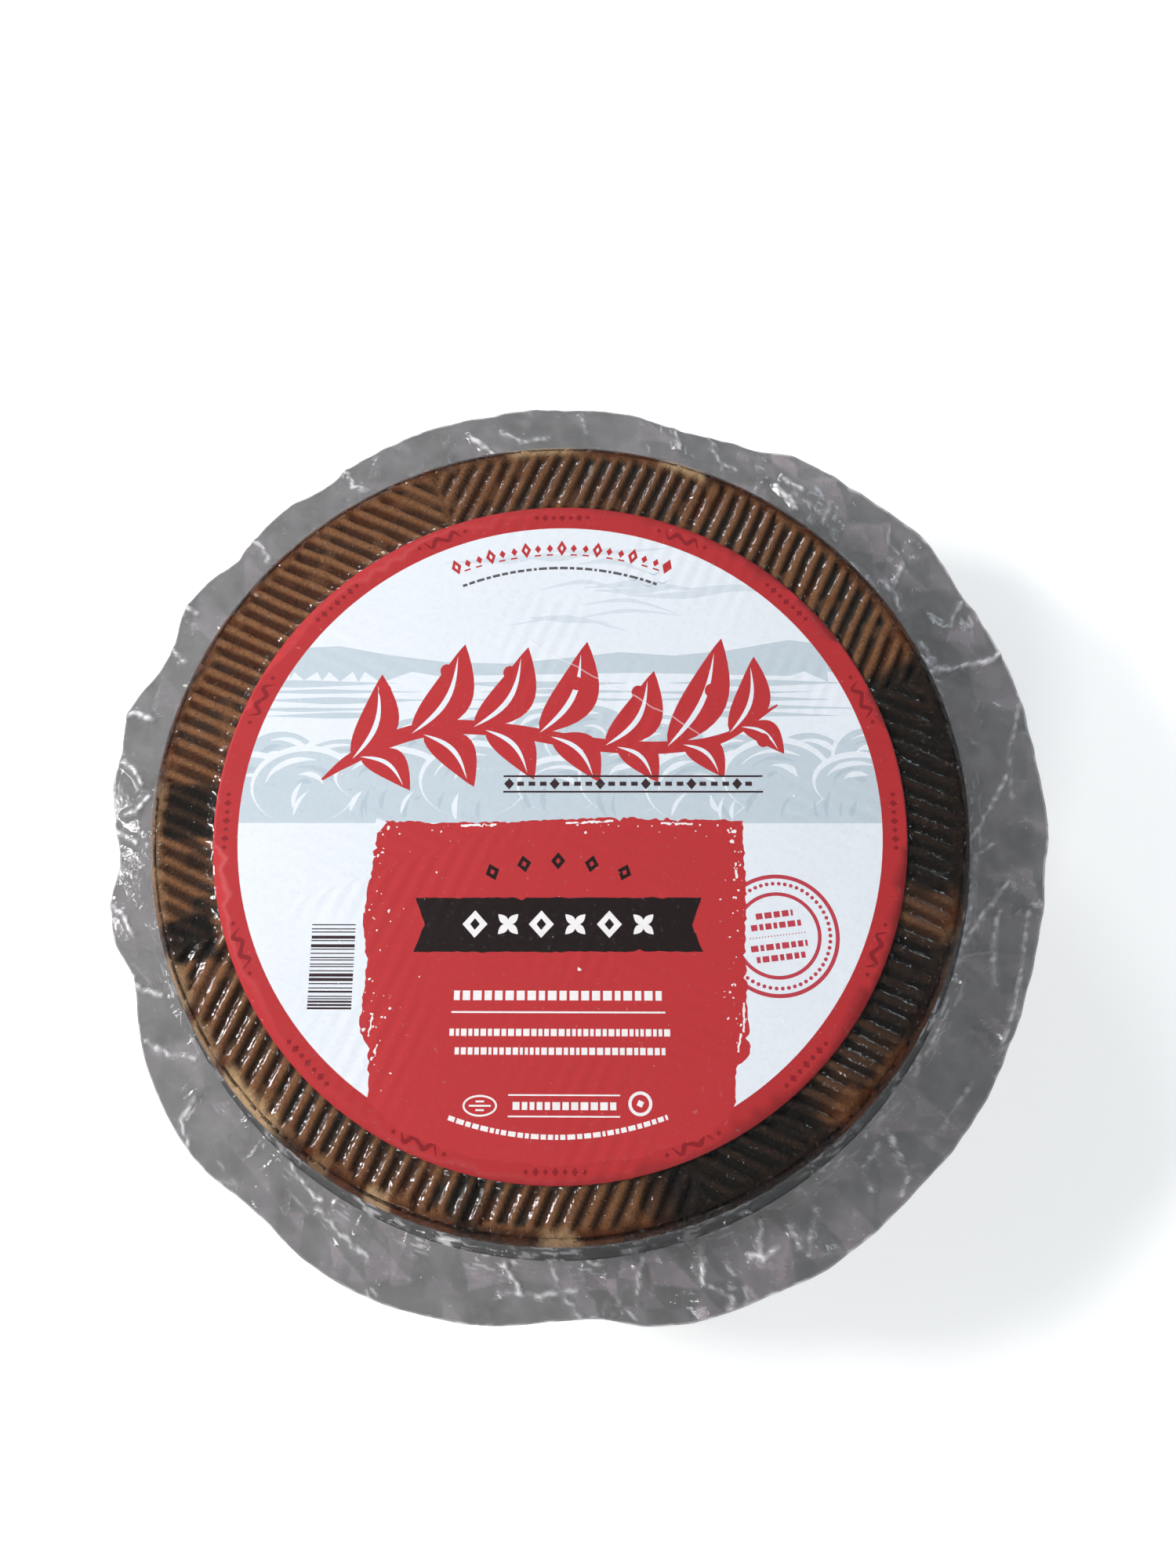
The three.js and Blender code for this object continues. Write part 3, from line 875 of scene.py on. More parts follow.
    # small rows in white
    for p in greeked(rng, -24.8, 26, -46.9, 2.3, 1.3, 2.2, 0.7):
        L.append((WHITE, p))
    L.append((WHITE, bar_pts(0.6, -50.9, 51.8, 0.42)))
    for y, x0, x1 in ((-55.7, -25.6, 27.6), (-60.1, -24.2, 26.4)):
        for p in greeked(rng, x0, x1, y, 1.7, 0.7, 1.5, 0.45):
            L.append((WHITE, p))
    L.append((WHITE, disc_pts(-17.8, -72.8, 4.1, 2.5, 28)))
    L.append((RED, disc_pts(-17.8, -72.8, 3.65, 2.05, 28)))
    for yy, half in ((1.0, 1.0), (0, 2.6), (-1.0, 1.0)):
        L.append((WHITE, bar_pts(-17.8, -72.8 + yy, 2 * half, 0.42)))
    L.append((WHITE, bar_pts(2.2, -70.3, 26.6, 0.36)))
    L.append((WHITE, bar_pts(2.2, -75.2, 26.6, 0.36)))
    for p in greeked(rng, -10, 14.6, -72.8, 1.8, 1.1, 1.9, 0.55):
        L.append((WHITE, p))
    L.append((WHITE, disc_pts(20.3, -72.2, 2.85, n=24)))
    L.append((RED, disc_pts(20.3, -72.2, 2.1, n=24)))
    L.append((WHITE, diamond(20.3, -72.2, 1.9, 1.9, 20)))
    for p in greeked(rng, -26, 27, 0, 1.15, 0.7, 1.9, 0.45, on_arc=(cx, cy, 76.6, -1)):
        L.append((WHITE, p))
    return L


def inside(poly, pts):
    """Winding test of many points in one outline."""
    x, y = pts[:, 0:1], pts[:, 1:2]
    a, b = poly, np.roll(poly, -1, 0)
    x0, y0, x1, y1 = a[:, 0], a[:, 1], b[:, 0], b[:, 1]
    up = (y0 <= y) & (y1 > y)
    dn = (y0 > y) & (y1 <= y)
    cross = (x1 - x0) * (y - y0) - (x - x0) * (y1 - y0)
    return ((up & (cross > 0)).sum(1) - (dn & (cross < 0)).sum(1)) != 0


def make_label():
    from mathutils.geometry import delaunay_2d_cdt
    layers = label_layers()
    pts, edges = [], []

    def loop(p):
        s = len(pts)
        pts.extend(p.tolist())
        n = len(p)
        edges.extend((s + i, s + (i + 1) % n) for i in range(n))

    N = 288
    rim = disc_pts(LX, LY, LR, n=N)
    loop(rim)
    ring = disc_pts(LX, LY, 81.3, n=160)
    for colour, p in layers:
        if isinstance(p, str):
            continue
        q = np.array(p)
        d = np.hypot(q[:, 0] - LX, q[:, 1] - LY)
        k = np.minimum(1, (LR - 0.5) / np.maximum(d, 1e-6))   # nothing passes the paper's edge
        q = np.stack([LX + (q[:, 0] - LX) * k, LY + (q[:, 1] - LY) * k], 1)
        loop(q)
    g = np.arange(-87, 88, 3.1)
    gx, gy = np.meshgrid(g, g)
    gx = gx + (np.arange(len(g))[:, None] % 2) * 1.55
    keep = np.hypot(gx, gy) < LR - 1.6
    pts.extend(np.stack([gx[keep] + LX, gy[keep] + LY], 1).tolist())
    vs, es, fs, ov, oe, of_ = delaunay_2d_cdt([Vector(p) for p in pts], edges, [], 0, 1e-4)
    co = np.array([v[:] for v in vs])
    tri = np.array([list(f) for f in fs if len(f) == 3])
    cen = co[tri].mean(1)
    d = np.hypot(cen[:, 0] - LX, cen[:, 1] - LY)
    tri, cen, d = tri[d < LR - 0.001], cen[d < LR - 0.001], d[d < LR - 0.001]
    col = np.tile(lin(*RED), (len(tri), 1))
    kind = np.zeros(len(tri))                      # 1 where ink lies on the paper
    for colour, p in layers:
        if isinstance(p, str):
            m = d > 81.28
            col[m] = lin(181, 51, 54)   # the border is printed a little darker
            kind[m] = 1
            continue
        lo, hi = p.min(0), p.max(0)
        m = np.where((cen[:, 0] >= lo[0]) & (cen[:, 0] <= hi[0]) & (cen[:, 1] >= lo[1]) & (cen[:, 1] <= hi[1]))[0]
        if not len(m):
            continue
        hit = m[inside(np.asarray(p, float), cen[m])]
        col[hit] = lin(*colour)
        kind[hit] = 0 if colour in (PALE,) else 1
    # the paper: top face, edge and underside
    n = len(co)

    def top_z(x, y):
        r = np.hypot(x, y)
        ripple = 0.035 * noise(x / 13, y / 13, 301) + 0.02 * noise(x / 5, y / 5, 302)
        return np.full(len(x), LZ - 0.07) + ripple

    rimi = np.where(np.abs(np.hypot(co[:, 0] - LX, co[:, 1] - LY) - LR) < 2e-3)[0]
    order = rimi[np.argsort(np.arctan2(co[rimi, 1] - LY, co[rimi, 0] - LX))]
    z = top_z(co[:, 0], co[:, 1])
    low = co[order]
    verts = np.concatenate([np.stack([co[:, 0], co[:, 1], z], 1),
                            np.stack([low[:, 0], low[:, 1], z[order] - 0.16], 1),
                            [[LX, LY, LZ - 0.25]]])
    faces = []
    a, b, c = co[tri[:, 0]], co[tri[:, 1]], co[tri[:, 2]]
    ccw = (b[:, 0] - a[:, 0]) * (c[:, 1] - a[:, 1]) - (b[:, 1] - a[:, 1]) * (c[:, 0] - a[:, 0]) > 0
    tri = np.where(ccw[:, None], tri, tri[:, ::-1])
    faces.extend(tri.tolist())
    m = len(order)
    for i in range(m):
        j = (i + 1) % m
        faces.append([int(order[i]), int(n + i), int(n + j), int(order[j])])
        faces.append([int(n + i), int(n + m), int(n + j)])
    me = bpy.data.meshes.new("paper_label")
    me.from_pydata((verts * MM).tolist(), [], faces)
    me.update()
    me.shade_smooth()
    ob = bpy.data.objects.new("paper_label", me)
    bpy.context.collection.objects.link(ob)
    edge_col = lin(222, 214, 210)
    fc = np.concatenate([col, np.repeat(edge_col[None], 2 * m, 0)])
    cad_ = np.concatenate([kind, np.zeros(2 * m)])
    sizes = np.array([len(f) for f in faces])
    me.attributes.new("ink", "FLOAT_COLOR", "CORNER")
    me.attributes.new("inked", "FLOAT", "CORNER")
    me.attributes["ink"].data.foreach_set("color", np.repeat(np.concatenate([fc, np.ones((len(fc), 1))], 1), sizes, 0).astype(np.float32).ravel())
    me.attributes["inked"].data.foreach_set("value", np.repeat(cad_, sizes).astype(np.float32))
    return ob


def label_material():
    m = bpy.data.materials.new("label_paper")
    g = Nodes(m)
    p = coords_mm(g)
    x, y, z = g.xyz(p)
    a = g.node("ShaderNodeAttribute", attribute_name="ink")
    ink = V(g, g.node("ShaderNodeAttribute", attribute_name="inked").outputs["Fac"])
    fibre = g.noise(p, 2.2, 5, 0.62)
    cloud = g.noise(p, 0.05, 3, 0.5)
    # ridges of the cheese that telegraph faintly through the paper
    wave = None
    import itertools
    for k, (c, s0) in enumerate(QUADS):
        ca = math.radians(c)
        s = y * math.cos(ca) - x * math.sin(ca) - s0
        along = x * math.cos(ca) + y * math.sin(ca)
        w = (s * (2 * math.pi / PITCH)).sin()
        mask = g.step(-0.4, 0.4, along - abs(s))
        term = w * mask
        wave = term if wave is None else wave + term
    show = g.step(0.42, 0.62, g.noise(p, 0.035, 2, 0.5))
    # crease: a bump line with a painted highlight along it
    dx, dy = 51.0, -29.0
    ln = math.hypot(dx, dy)
    t = (x + 13.0) * (dx / ln) + (y - 48.0) * (dy / ln)
    off = (x + 13.0) * (-dy / ln) + (y - 48.0) * (dx / ln) + g.noise(p, 0.12, 2, 0.5) * 2.2 - 1.1
    crease = (1.0 - g.step(0.0, 0.28, abs(off))) * g.step(-1.0, 4.0, t) * (1.0 - g.step(ln - 4.0, ln + 1.0, t))
    # painted shade and light: on inked areas the colour is made faintly lighter and darker along the ridges under the
    # paper, besides their bump
    mul = g.node("ShaderNodeVectorMath", operation="SCALE")
    g.link(a.outputs["Color"], mul.inputs[0])
    g.put(mul.inputs[3], 0.93 + 0.07 * fibre + 0.06 * cloud + ink * (wave * show) * 0.018)
    col = mul.outputs[0]
    worn = g.step(0.70, 0.76, g.noise(p, 0.9, 4, 0.7)) * ink * 0.5
    col = g.mix(worn, col, lin(226, 150, 150))
    # painted highlight: the crease is lightened towards white
    col = g.mix(crease * 0.45, col, lin(250, 250, 252))
    pr, out = principled(g, Base_Color=col, Roughness=0.42 + 0.2 * fibre - ink * 0.08)
    pr.inputs["IOR"].default_value = 1.45
    pr.inputs["Specular IOR Level"].default_value = 0.15
    h = fibre * 0.25 + wave * show * 0.9 + crease * 2.0
    g.link(bump(g, h, 0.35, 0.00012), pr.inputs["Normal"])
    return m


# ------------------------------------------------------------------ the films
def facets(x, y, seed):
    """Flat triangular facets between random heights, with sharp folds between them."""
    ix, iy = np.floor(x), np.floor(y)
    fx, fy = x - ix, y - iy
    h = lambda a, b: _hash(ix + a, iy + b, seed) * 2 - 1
    lower = h(0, 0) + fx * (h(1, 0) - h(0, 0)) + fy * (h(0, 1) - h(0, 0))
    upper = h(1, 1) + (1 - fx) * (h(0, 1) - h(1, 1)) + (1 - fy) * (h(1, 0) - h(1, 1))
    return np.where(fx + fy < 1, lower, upper)


def facet_marks(x, y, seed):
    """A constant painted-reflection value for each facet, and the distance to its nearest fold in lattice units."""
    ix, iy = np.floor(x), np.floor(y)
    fx, fy = x - ix, y - iy
    low = fx + fy < 1
    painted_facet_sheen = _hash(ix * 2 + low, iy, seed + 1)
    e = np.where(low, np.minimum(np.minimum(fx, fy), (1 - fx - fy) * 0.7), np.minimum(np.minimum(1 - fx, 1 - fy), (fx + fy - 1) * 0.7))
    return painted_facet_sheen, e


def outline_at(t):
    n = len(FLANGE_OUTLINE)
    u = np.mod(t / (2 * math.pi) * n, n)
    i = np.floor(u).astype(int) % n
    f = u - np.floor(u)
    o = np.array(FLANGE_OUTLINE)
    p0, p1, p2, p3 = o[(i - 1) % n], o[i], o[(i + 1) % n], o[(i + 2) % n]
    cat = 0.5 * (2 * p1 + (p2 - p0) * f + (2 * p0 - 5 * p1 + 4 * p2 - p3) * f**2 + (3 * p1 - p0 - 3 * p2 + p3) * f**3)
    return 0.5 * cat + 0.5 * (p1 * (1 - f) + p2 * f)


# Where the seal is crumpled: (angle, half width in degrees, strength)
CRUMPLES = [
    (97, 8, 0.5), (112, 10, 0.4), (61, 7, 1.0), (52, 6, 1.0), (75, 6, 0.7), (40, 6, 0.9), (26, 6, 1.0), (14, 5, 0.6), (352, 8, 0.9), (336, 9, 1.0),
    (318, 8, 0.8), (300, 8, 1.0), (288, 7, 1.0), (276, 8, 1.0), (262, 6, 1.0), (250, 6, 0.9), (237, 10, 1.0), (222, 6, 0.8), (205, 7, 0.7), (190, 5, 0.9), (180, 4, 0.9),
    (172, 5, 0.7), (163, 4, 0.6), (150, 5, 0.8), (139, 4, 0.5), (128, 5, 0.5),
]


def crumple(deg):
    c = np.zeros_like(deg)
    for a, half, s in CRUMPLES:
        c = np.maximum(c, s * bell(gap(deg, a), half))
    return c


# Sharp folds pressed into the seal: (points along the fold in mm, strength)
FOLDS = [
([(98.5, 49.6), (104.9, 44.4), (114.4, 46.5), (120.5, 48.1), (124.5, 52.1)], 1.0),
    ([(101.1, 43.3), (106.8, 46.0)], 0.9),
    ([(100.0, 52.6), (103.6, 47.0)], 0.9),
    ([(120.7, 13.8), (115.7, 5.4), (109.5, -3.7)], 0.6),
    ([(108.2, -9.7), (115.7, -4.5)], 0.5),
    ([(110.0, -8.2), (108.2, -20.2), (105.3, -30.6), (103.9, -35.5), (98.5, -44.8), (93.2, -51.3), (89.4, -63.5)], 1.0),
    ([(116.0, -22.7), (112.7, -32.6), (112.5, -42.0)], 0.8),
    ([(118.8, -15.0), (110.8, -24.4), (103.9, -33.7)], 0.6),
    ([(96.6, -48.9), (92.5, -56.8), (90.5, -64.6)], 0.9),
    ([(98.5, -50.8), (93.9, -59.7)], 0.7),
    ([(75.5, -76.8), (77.5, -79.4)], 0.9),
    ([(82.9, -78.3), (86.4, -85.2)], 0.8),
    ([(84.1, -84.1), (87.9, -89.3), (85.6, -94.1)], 0.4),
    ([(80.5, -81.9), (76.3, -87.5), (77.9, -93.1)], 0.5),
    ([(50.2, -99.7), (49.9, -104.2), (50.5, -108.9)], 1.0),
    ([(47.3, -107.8), (50.5, -108.5), (54.1, -106.0)], 0.8),
    ([(35.8, -102.5), (35.3, -107.9), (35.9, -114.4)], 0.8),
    ([(37.5, -115.1), (43.1, -117.7), (42.0, -122.5)], 0.4),
    ([(5.8, -107.7), (9.3, -110.2), (12.8, -107.7)], 0.9),
    ([(-12.9, -110.0), (-10.5, -113.2), (-8.5, -116.6)], 0.9),
    ([(-13.4, -116.3), (-3.7, -117.4), (4.9, -116.1)], 0.45),
    ([(-1.9, -108.1), (0.5, -115.3), (5.9, -122.3)], 0.4),
    ([(-47.2, -94.6), (-41.2, -97.4), (-35.4, -95.9), (-29.3, -101.0)], 0.8),
    ([(-45.1, -98.3), (-37.1, -101.0)], 0.7),
    ([(-55.5, -88.1), (-50.9, -92.8), (-47.3, -92.2)], 0.7),
    ([(-67.6, -84.4), (-65.2, -90.0), (-59.0, -95.6)], 0.6),
    ([(-59.8, -97.5), (-52.5, -104.8), (-46.5, -108.4)], 0.5),
    ([(-92.7, -71.1), (-96.2, -76.9), (-93.7, -82.6)], 0.5),
    ([(-106.2, -57.4), (-100.8, -60.4), (-93.6, -61.3)], 0.6),
    ([(-114.5, -37.2), (-109.7, -43.8), (-104.3, -45.4)], 0.6),
    ([(-120.4, -21.6), (-116.4, -23.7), (-113.3, -29.0)], 0.9),
    ([(-124.2, 3.1), (-120.5, -1.7), (-114.8, -4.5)], 0.9),
    ([(-112.9, 8.0), (-115.5, 4.5), (-118.8, 3.2)], 0.8),
    ([(-120.9, 18.3), (-117.6, 16.0), (-115.0, 12.0)], 0.9),
    ([(-121.9, 31.3), (-118.0, 32.0), (-113.8, 30.1)], 0.9),
    ([(-111.9, 53.5), (-108.6, 49.2), (-105.8, 47.3)], 0.6),
    ([(-108.4, 65.5), (-104.4, 61.9)], 0.7),
    ([(-91.0, 85.2), (-87.1, 82.7), (-84.7, 77.7)], 0.6),
    ([(-64.9, 107.9), (-61.8, 102.3), (-57.5, 100.7)], 0.6),
    ([(-28.1, 118.2), (-22.8, 114.0), (-18.6, 110.3)], 0.9),
    ([(-18.8, 120.0), (-12.2, 116.5), (-4.8, 118.0)], 0.5),
    ([(4.9, 125.9), (6.4, 119.0)], 0.4),
    ([(32.4, 121.0), (34.2, 113.9)], 0.7),
    ([(42.8, 117.8), (45.0, 110.5), (50.6, 107.4)], 0.5),
    ([(61.9, 102.8), (65.0, 98.2), (67.5, 94.1)], 1.0),
    ([(64.3, 104.3), (69.6, 100.2)], 0.7),
    ([(77.7, 97.1), (75.0, 90.1), (78.8, 84.6)], 0.5),
    ([(90.9, 71.8), (94.0, 67.4), (94.9, 62.1)], 0.9),
    ([(96.8, 77.1), (94.1, 69.8)], 0.6),
    ([(112.6, 65.0), (108.8, 57.8)], 0.4),
    ([(126.4, 34.5), (122.2, 20.9), (121.8, 7.6)], 0.3),
    ([(123.2, -23.3), (119.5, -40.8), (114.0, -57.7)], 0.5),
    ([(105.3, -66.5), (96.5, -78.0)], 0.35),
    ([(21.2, -108.0), (19.6, -116.9)], 0.4),
    ([(64.1, -96.8), (61.7, -107.8)], 0.5),
    ([(57.2, -100.5), (59.8, -106.0)], 0.6),
]


def fold_field(x, y):
    """Height of the sharp folds, and their whitening: stress whitening with a painted highlight along each fold."""
    h, w = np.zeros_like(x), np.zeros_like(x)
    for pts, strength in FOLDS:
        p = np.array(pts)
        lo, hi = p.min(0) - 3, p.max(0) + 3
        m = np.where((x > lo[0]) & (x < hi[0]) & (y > lo[1]) & (y < hi[1]))[0]
        if not len(m):
            continue
        X, Y = x[m], y[m]
        wob = 0.5 * noise(X / 2.4, Y / 2.4, 491)
        X, Y = X + wob, Y + wob
        d = np.full(len(m), 9.0)
        for a, b in zip(p[:-1], p[1:]):
            v = b - a
            k = np.clip(((X - a[0]) * v[0] + (Y - a[1]) * v[1]) / (v @ v), 0, 1)
            d = np.minimum(d, np.hypot(X - a[0] - k * v[0], Y - a[1] - k * v[1]))
        h[m] = np.maximum(h[m], strength * np.maximum(0, 1 - d / 1.7))
        w[m] = np.maximum(w[m], 1.7 * strength * bell(d, 0.55) * (0.35 + 0.65 * sstep(-0.15, 0.25, noise(x[m] / 1.9, y[m] / 1.9, 492))))
    return h, w


def flange_shape(t, q):
    """Height and in-plane shift of the seal at angle t (radians) and q from 0 at the root to 1 at the trimmed edge."""
    deg = np.degrees(t) % 360
    rise = np.zeros_like(t)
    for k, a, ph in FLANGE_WAVES:
        rise = rise + a * np.sin(k * t + ph)
    z = rise * q * q
    edge = outline_at(t)
    r = ROOT_R + q * (edge - ROOT_R)
    arc = t * 118
    c = crumple(deg) * (1 - 0.6 * bell(gap(deg, 185), 48))
    # wrap the lattice without a seam
    wx, wy = r * np.cos(t), r * np.sin(t)
    warp = 3.0 * noise(wx / 17, wy / 17, 401)
    big = facets((wx + warp) / 11.5, (wy - warp) / 11.5, 411)
    mid = facets((wx - warp) / 5.2 + 3, (wy + warp) / 5.2, 421)
    small = facets((wx + 0.6 * warp) / 2.6, wy / 2.6 + 7, 431)
    ramp = sstep(0.0, 0.30, q)
    calm = 1 - 0.5 * bell(gap(deg, 178), 42)
    ramp = ramp * calm
    z = z + ramp * (big * (0.55 + 1.15 * c) + mid * (0.10 + 0.80 * c) * (0.35 + 0.65 * q) + small * 0.24 * c)
    # pinch folds that start at the wall and run outwards
    n = 110
    u = t / (2 * math.pi) * n + 0.30 * noise(t * 9, t * 0, 441)
    k = np.floor(u) % n
    h = _hash(k, k * 0, 451)
    lean = (_hash(k, k * 0 + 1, 452) - 0.5) * 0.9
    f = u - np.floor(u) - 0.5 - lean * q * 0.7
    reach = 0.15 + 0.65 * _hash(k, k * 0 + 2, 453) ** 2
    fold = np.maximum(0, 1 - np.abs(f) / (0.07 + 0.10 * h)) * (1 - sstep(reach * 0.5, reach, q)) * (h > 0.30)
    z = z + fold * (0.2 + 0.65 * h)
    fh, _ = fold_field(r * np.cos(t), r * np.sin(t))
    z = z + 1.15 * fh * sstep(0.0, 0.08, q)
    # wavy lifted rim at the lobes of the trimmed edge
    z = z + sstep(0.72, 1.0, q) * calm * (0.55 * noise(t * 19, t * 0 + 5, 461) + 0.25 * c)
    return z, r


FT = 0.14     # film thickness shown


def make_seal():
    rings = []
    n = 1200
    t = np.arange(n) / n * 2 * math.pi
    qs = np.concatenate([[0.0, 0.025], np.linspace(0.055, 0.965, 31), [0.988, 1.0]])
    c, s = np.cos(t), np.sin(t)
    tops = []
    for q in qs:
        z, r = flange_shape(t, np.full(n, q))
        edge_up = FLANGE_Z + 0.22
        tops.append(np.stack([r * c, r * s, edge_up + z], 1))
    lows = []
    for q, top in zip(qs[::-1], tops[::-1]):
        p = top.copy()
        p[:, 2] -= 0.36 if q < 0.99 else 0.24
        rr = np.hypot(p[:, 0], p[:, 1])
        lows.append(p)
    rings = tops + lows
    ob, co = rings_mesh("film_seal_ring", rings, loop=True, closed_ends=(False, False))
    deg = np.degrees(np.arctan2(co[:, 1], co[:, 0])) % 360
    c = crumple(deg) * (1 - 0.55 * bell(gap(deg, 185), 48))
    attribute(ob, "crease", c)
    wx, wy = co[:, 0], co[:, 1]
    warp = 3.0 * noise(wx / 17, wy / 17, 401)
    tb, eb = facet_marks((wx + warp) / 11.5, (wy - warp) / 11.5, 411)
    tm, em = facet_marks((wx - warp) / 5.2 + 3, (wy + warp) / 5.2, 421)
    broken = sstep(0.0, 0.35, noise(wx / 4.1, wy / 4.1, 471))
    fine = sstep(-0.05, 0.3, noise(wx / 2.0, wy / 2.0, 472))
    rr = np.hypot(wx, wy)
    near = 1 - sstep(ROOT_R + 0.8, ROOT_R + 6.5, rr)
    right = 0.25 + 0.75 * np.maximum(bell(gap(deg, -15), 55), bell(gap(deg, 255), 22))
    rare = sstep(0.15, 0.5, noise(wx / 13, wy / 13, 473))
    # stress whitening and painted highlight: thin white lines along facet folds, as creases that catch the light
    line = (1 - sstep(0.15, 0.6, eb * 11.5)) * broken * rare * (0.1 + 0.9 * c) * 0.6
    line = np.maximum(line, (1 - sstep(0.1, 0.5, em * 5.2)) * broken * fine * rare * c * 0.45)
    # painted highlight: a broken white line along the foot of the wall, strongest on the right
    arc = np.radians(deg) * ROOT_R
    run = sstep(0.12, 0.42, noise(arc / 4.6, rr / 0.75, 474)) * sstep(-0.2, 0.25, noise(arc / 17, rr * 0, 475))
    line = np.maximum(line, near * run * right * 0.9)
    _, fw = fold_field(wx, wy)
    line = np.maximum(line, fw)
    # painted highlight: the trimmed edge is whitened into a bright hem line
    hem = sstep(0.6, 0.1, outline_at(np.arctan2(wy, wx)) - rr) * (0.35 + 0.4 * broken)
    attribute(ob, "whitening_and_glint", np.clip(np.maximum(line, hem), 0, 1))
    # painted reflection: chosen facets get a lighter, pinkish colour that stands in for facets mirroring the room
    attribute(ob, "painted_facet_sheen", np.clip(sstep(0.45, 1.0, tb) * (0.35 + 0.65 * c) * 0.8 + sstep(0.62, 1.0, tm) * c * 0.7, 0, 1))
    q = (np.hypot(co[:, 0], co[:, 1]) - ROOT_R) / (outline_at(np.arctan2(co[:, 1], co[:, 0])) - ROOT_R)
    attribute(ob, "out", q)
    return ob


def under_film(x, y):
    """Inside of the upper film over the flat face: over the paper, down its edge and partly into the grooves."""
    d, rough, groove, u, jit = face_height(x, y)
    r = np.hypot(x, y)
    soft = 1 - sstep(R - EDGE + 0.3 * EDGE, R - EDGE + 0.9 * EDGE, r)
    rind = Z1 - 0.52 * d * soft + 0.10 + 0.06 * noise(x / 9, y / 9, 501)
    rind = rind + sstep(95, 99, r) * 0.16 * np.maximum(0, noise(x / 2.1, y / 2.1, 503)) + 0.05 * np.maximum(0, noise(x / 1.6, y / 1.6, 504))
    over = LZ + 0.03 + 0.02 * noise(x / 21, y / 21, 502)
    ld = np.hypot(x - LX, y - LY) - LR
    w = sstep(0.15, 1.7, ld)
    return over * (1 - w) + rind * w


def wall_offset(t, h):
    """How far the film stands off the side at angle t; h is 0 at the rim and 1 at the fold to the seal."""
    n = 74
    arc = t * R
    tight = 0.08 * (noise(arc / 7, h * 2, 511) + 1)
    n2 = 96
    u = t / (2 * math.pi) * n2
    k = np.floor(u + 0.5) % n2
    hh = _hash(k, k * 0, 521)
    f = (u - np.floor(u + 0.5)) + 0.25 * (hh - 0.5)
    pleat = np.maximum(0, 1 - np.abs(f) / (0.10 + 0.1 * hh)) * sstep(0.25 + 0.6 * hh, 1.0, h)
    return 0.22 + tight + 0.55 * pleat


def make_cap():
    rings_out, rings_in = [], []

    def put(x, y, z, nx, ny, nz):
        p = np.stack([x, y, z], 1)
        nn = np.stack([nx, ny, nz], 1)
        rings_in.append(p)
        rings_out.append(p + nn * FT)

    def flat(n, r):
        t, c, s = circle(n)
        x, y = r * c, r * s
        z = under_film(x, y)
        o = np.zeros(n)
        put(x, y, z, o, o, o + 1)

    for r, n in [(3, 60), (12, 60), (24, 60), (36, 120), (50, 120), (62, 240), (72, 240), (79, 240), (83, 1200)]:
        flat(n, r)
    for r in np.concatenate([np.arange(84.2, 91.5, 0.9), np.arange(92.2, 100.1, 1.02)]):
        flat(1200, float(r))
    t, c, s = circle(1200)
    x0, y0 = (R - EDGE) * c, (R - EDGE) * s
    for a in (78, 64, 50, 36, 22, 10):
        q = math.radians(a)
        d, rough, groove, u, jit = face_height((R - EDGE + EDGE * math.cos(q)) * c, (R - EDGE + EDGE * math.cos(q)) * s)
        k = (1 - sstep(0.3, 0.9, np.array(math.cos(q)))) * 0.52
        off = EDGE + 0.14 + 0.05 * noise(t * 14, t * 0 + a / 30, 531) + 0.20 * np.maximum(0, noise(t * 47, t * 0 + a / 22, 532))
        rr = R - EDGE + off * math.cos(q)
        z = Z1 - EDGE + off * math.sin(q) - d * k * math.sin(q)
        put(rr * c, rr * s, z, c * math.cos(q), s * math.cos(q), np.full(1200, math.sin(q)))
    zf = FLANGE_Z + 0.30
    top = Z1 - EDGE
    for i, z in enumerate(np.linspace(top - 0.8, zf + 4.0, 6)):
        h = (top - z) / (top - zf - 4.0)
        rr = R + wall_offset(t, np.full(1200, h)) * min(1, 0.4 + h * 2)
        put(rr * c, rr * s, np.full(1200, z), c, s, c * 0)
    base = R + wall_offset(t, np.full(1200, 1.0))
    for a in (190, 200, 211, 222, 233, 243, 252, 261, 270):
        q = math.radians(a)
        rad = ROOT_R + 0.25 - base
        rr = ROOT_R + 0.25 + rad * math.cos(q)
        f0, _ = flange_shape(t, np.full(1200, 0.0))
        zz = zf + 4.0 + 4.0 * math.sin(q) + f0 * sstep(190, 270, np.array(float(a))) + 0.12
        put(rr * c, rr * s, zz, -c * math.cos(q), -s * math.cos(q), np.full(1200, -math.sin(q)))
    rings = rings_out + rings_in[::-1]
    ob, co = rings_mesh("film_cap", rings)
    r = np.hypot(co[:, 0], co[:, 1])
    weld = sstep(FLANGE_Z + 7.0, FLANGE_Z + 1.5, co[:, 2]) * sstep(R + 0.3, R + 1.6, r)
    attribute(ob, "weld", weld)
    deg = np.degrees(np.arctan2(co[:, 1], co[:, 0]))
    right = 0.3 + 0.7 * np.maximum(bell(gap(deg, -15), 55), bell(gap(deg, 255), 22))
    arc = np.radians(deg) * ROOT_R
    fine = sstep(0.05, 0.35, noise(arc / 5.2, (co[:, 2] - r) / 1.1, 481)) * sstep(-0.2, 0.2, noise(arc / 15, r * 0, 482))
    # stress whitening and painted highlight: a broken white line in the weld at the foot of the wall, strongest on the
    # right, for bunched film that catches the light
    attribute(ob, "whitening_and_glint", weld * fine * right * 0.7)
    attribute(ob, "side", sstep(Z1 - 7.0, Z1 - 13.0, co[:, 2]))
    # where the film is stuck to the wet rim there is no air behind it, so it reflects less
    attribute(ob, "cling", sstep(98.5, 100.5, r) * sstep(Z1 - 11.0, Z1 - 7.0, co[:, 2]))
    return ob


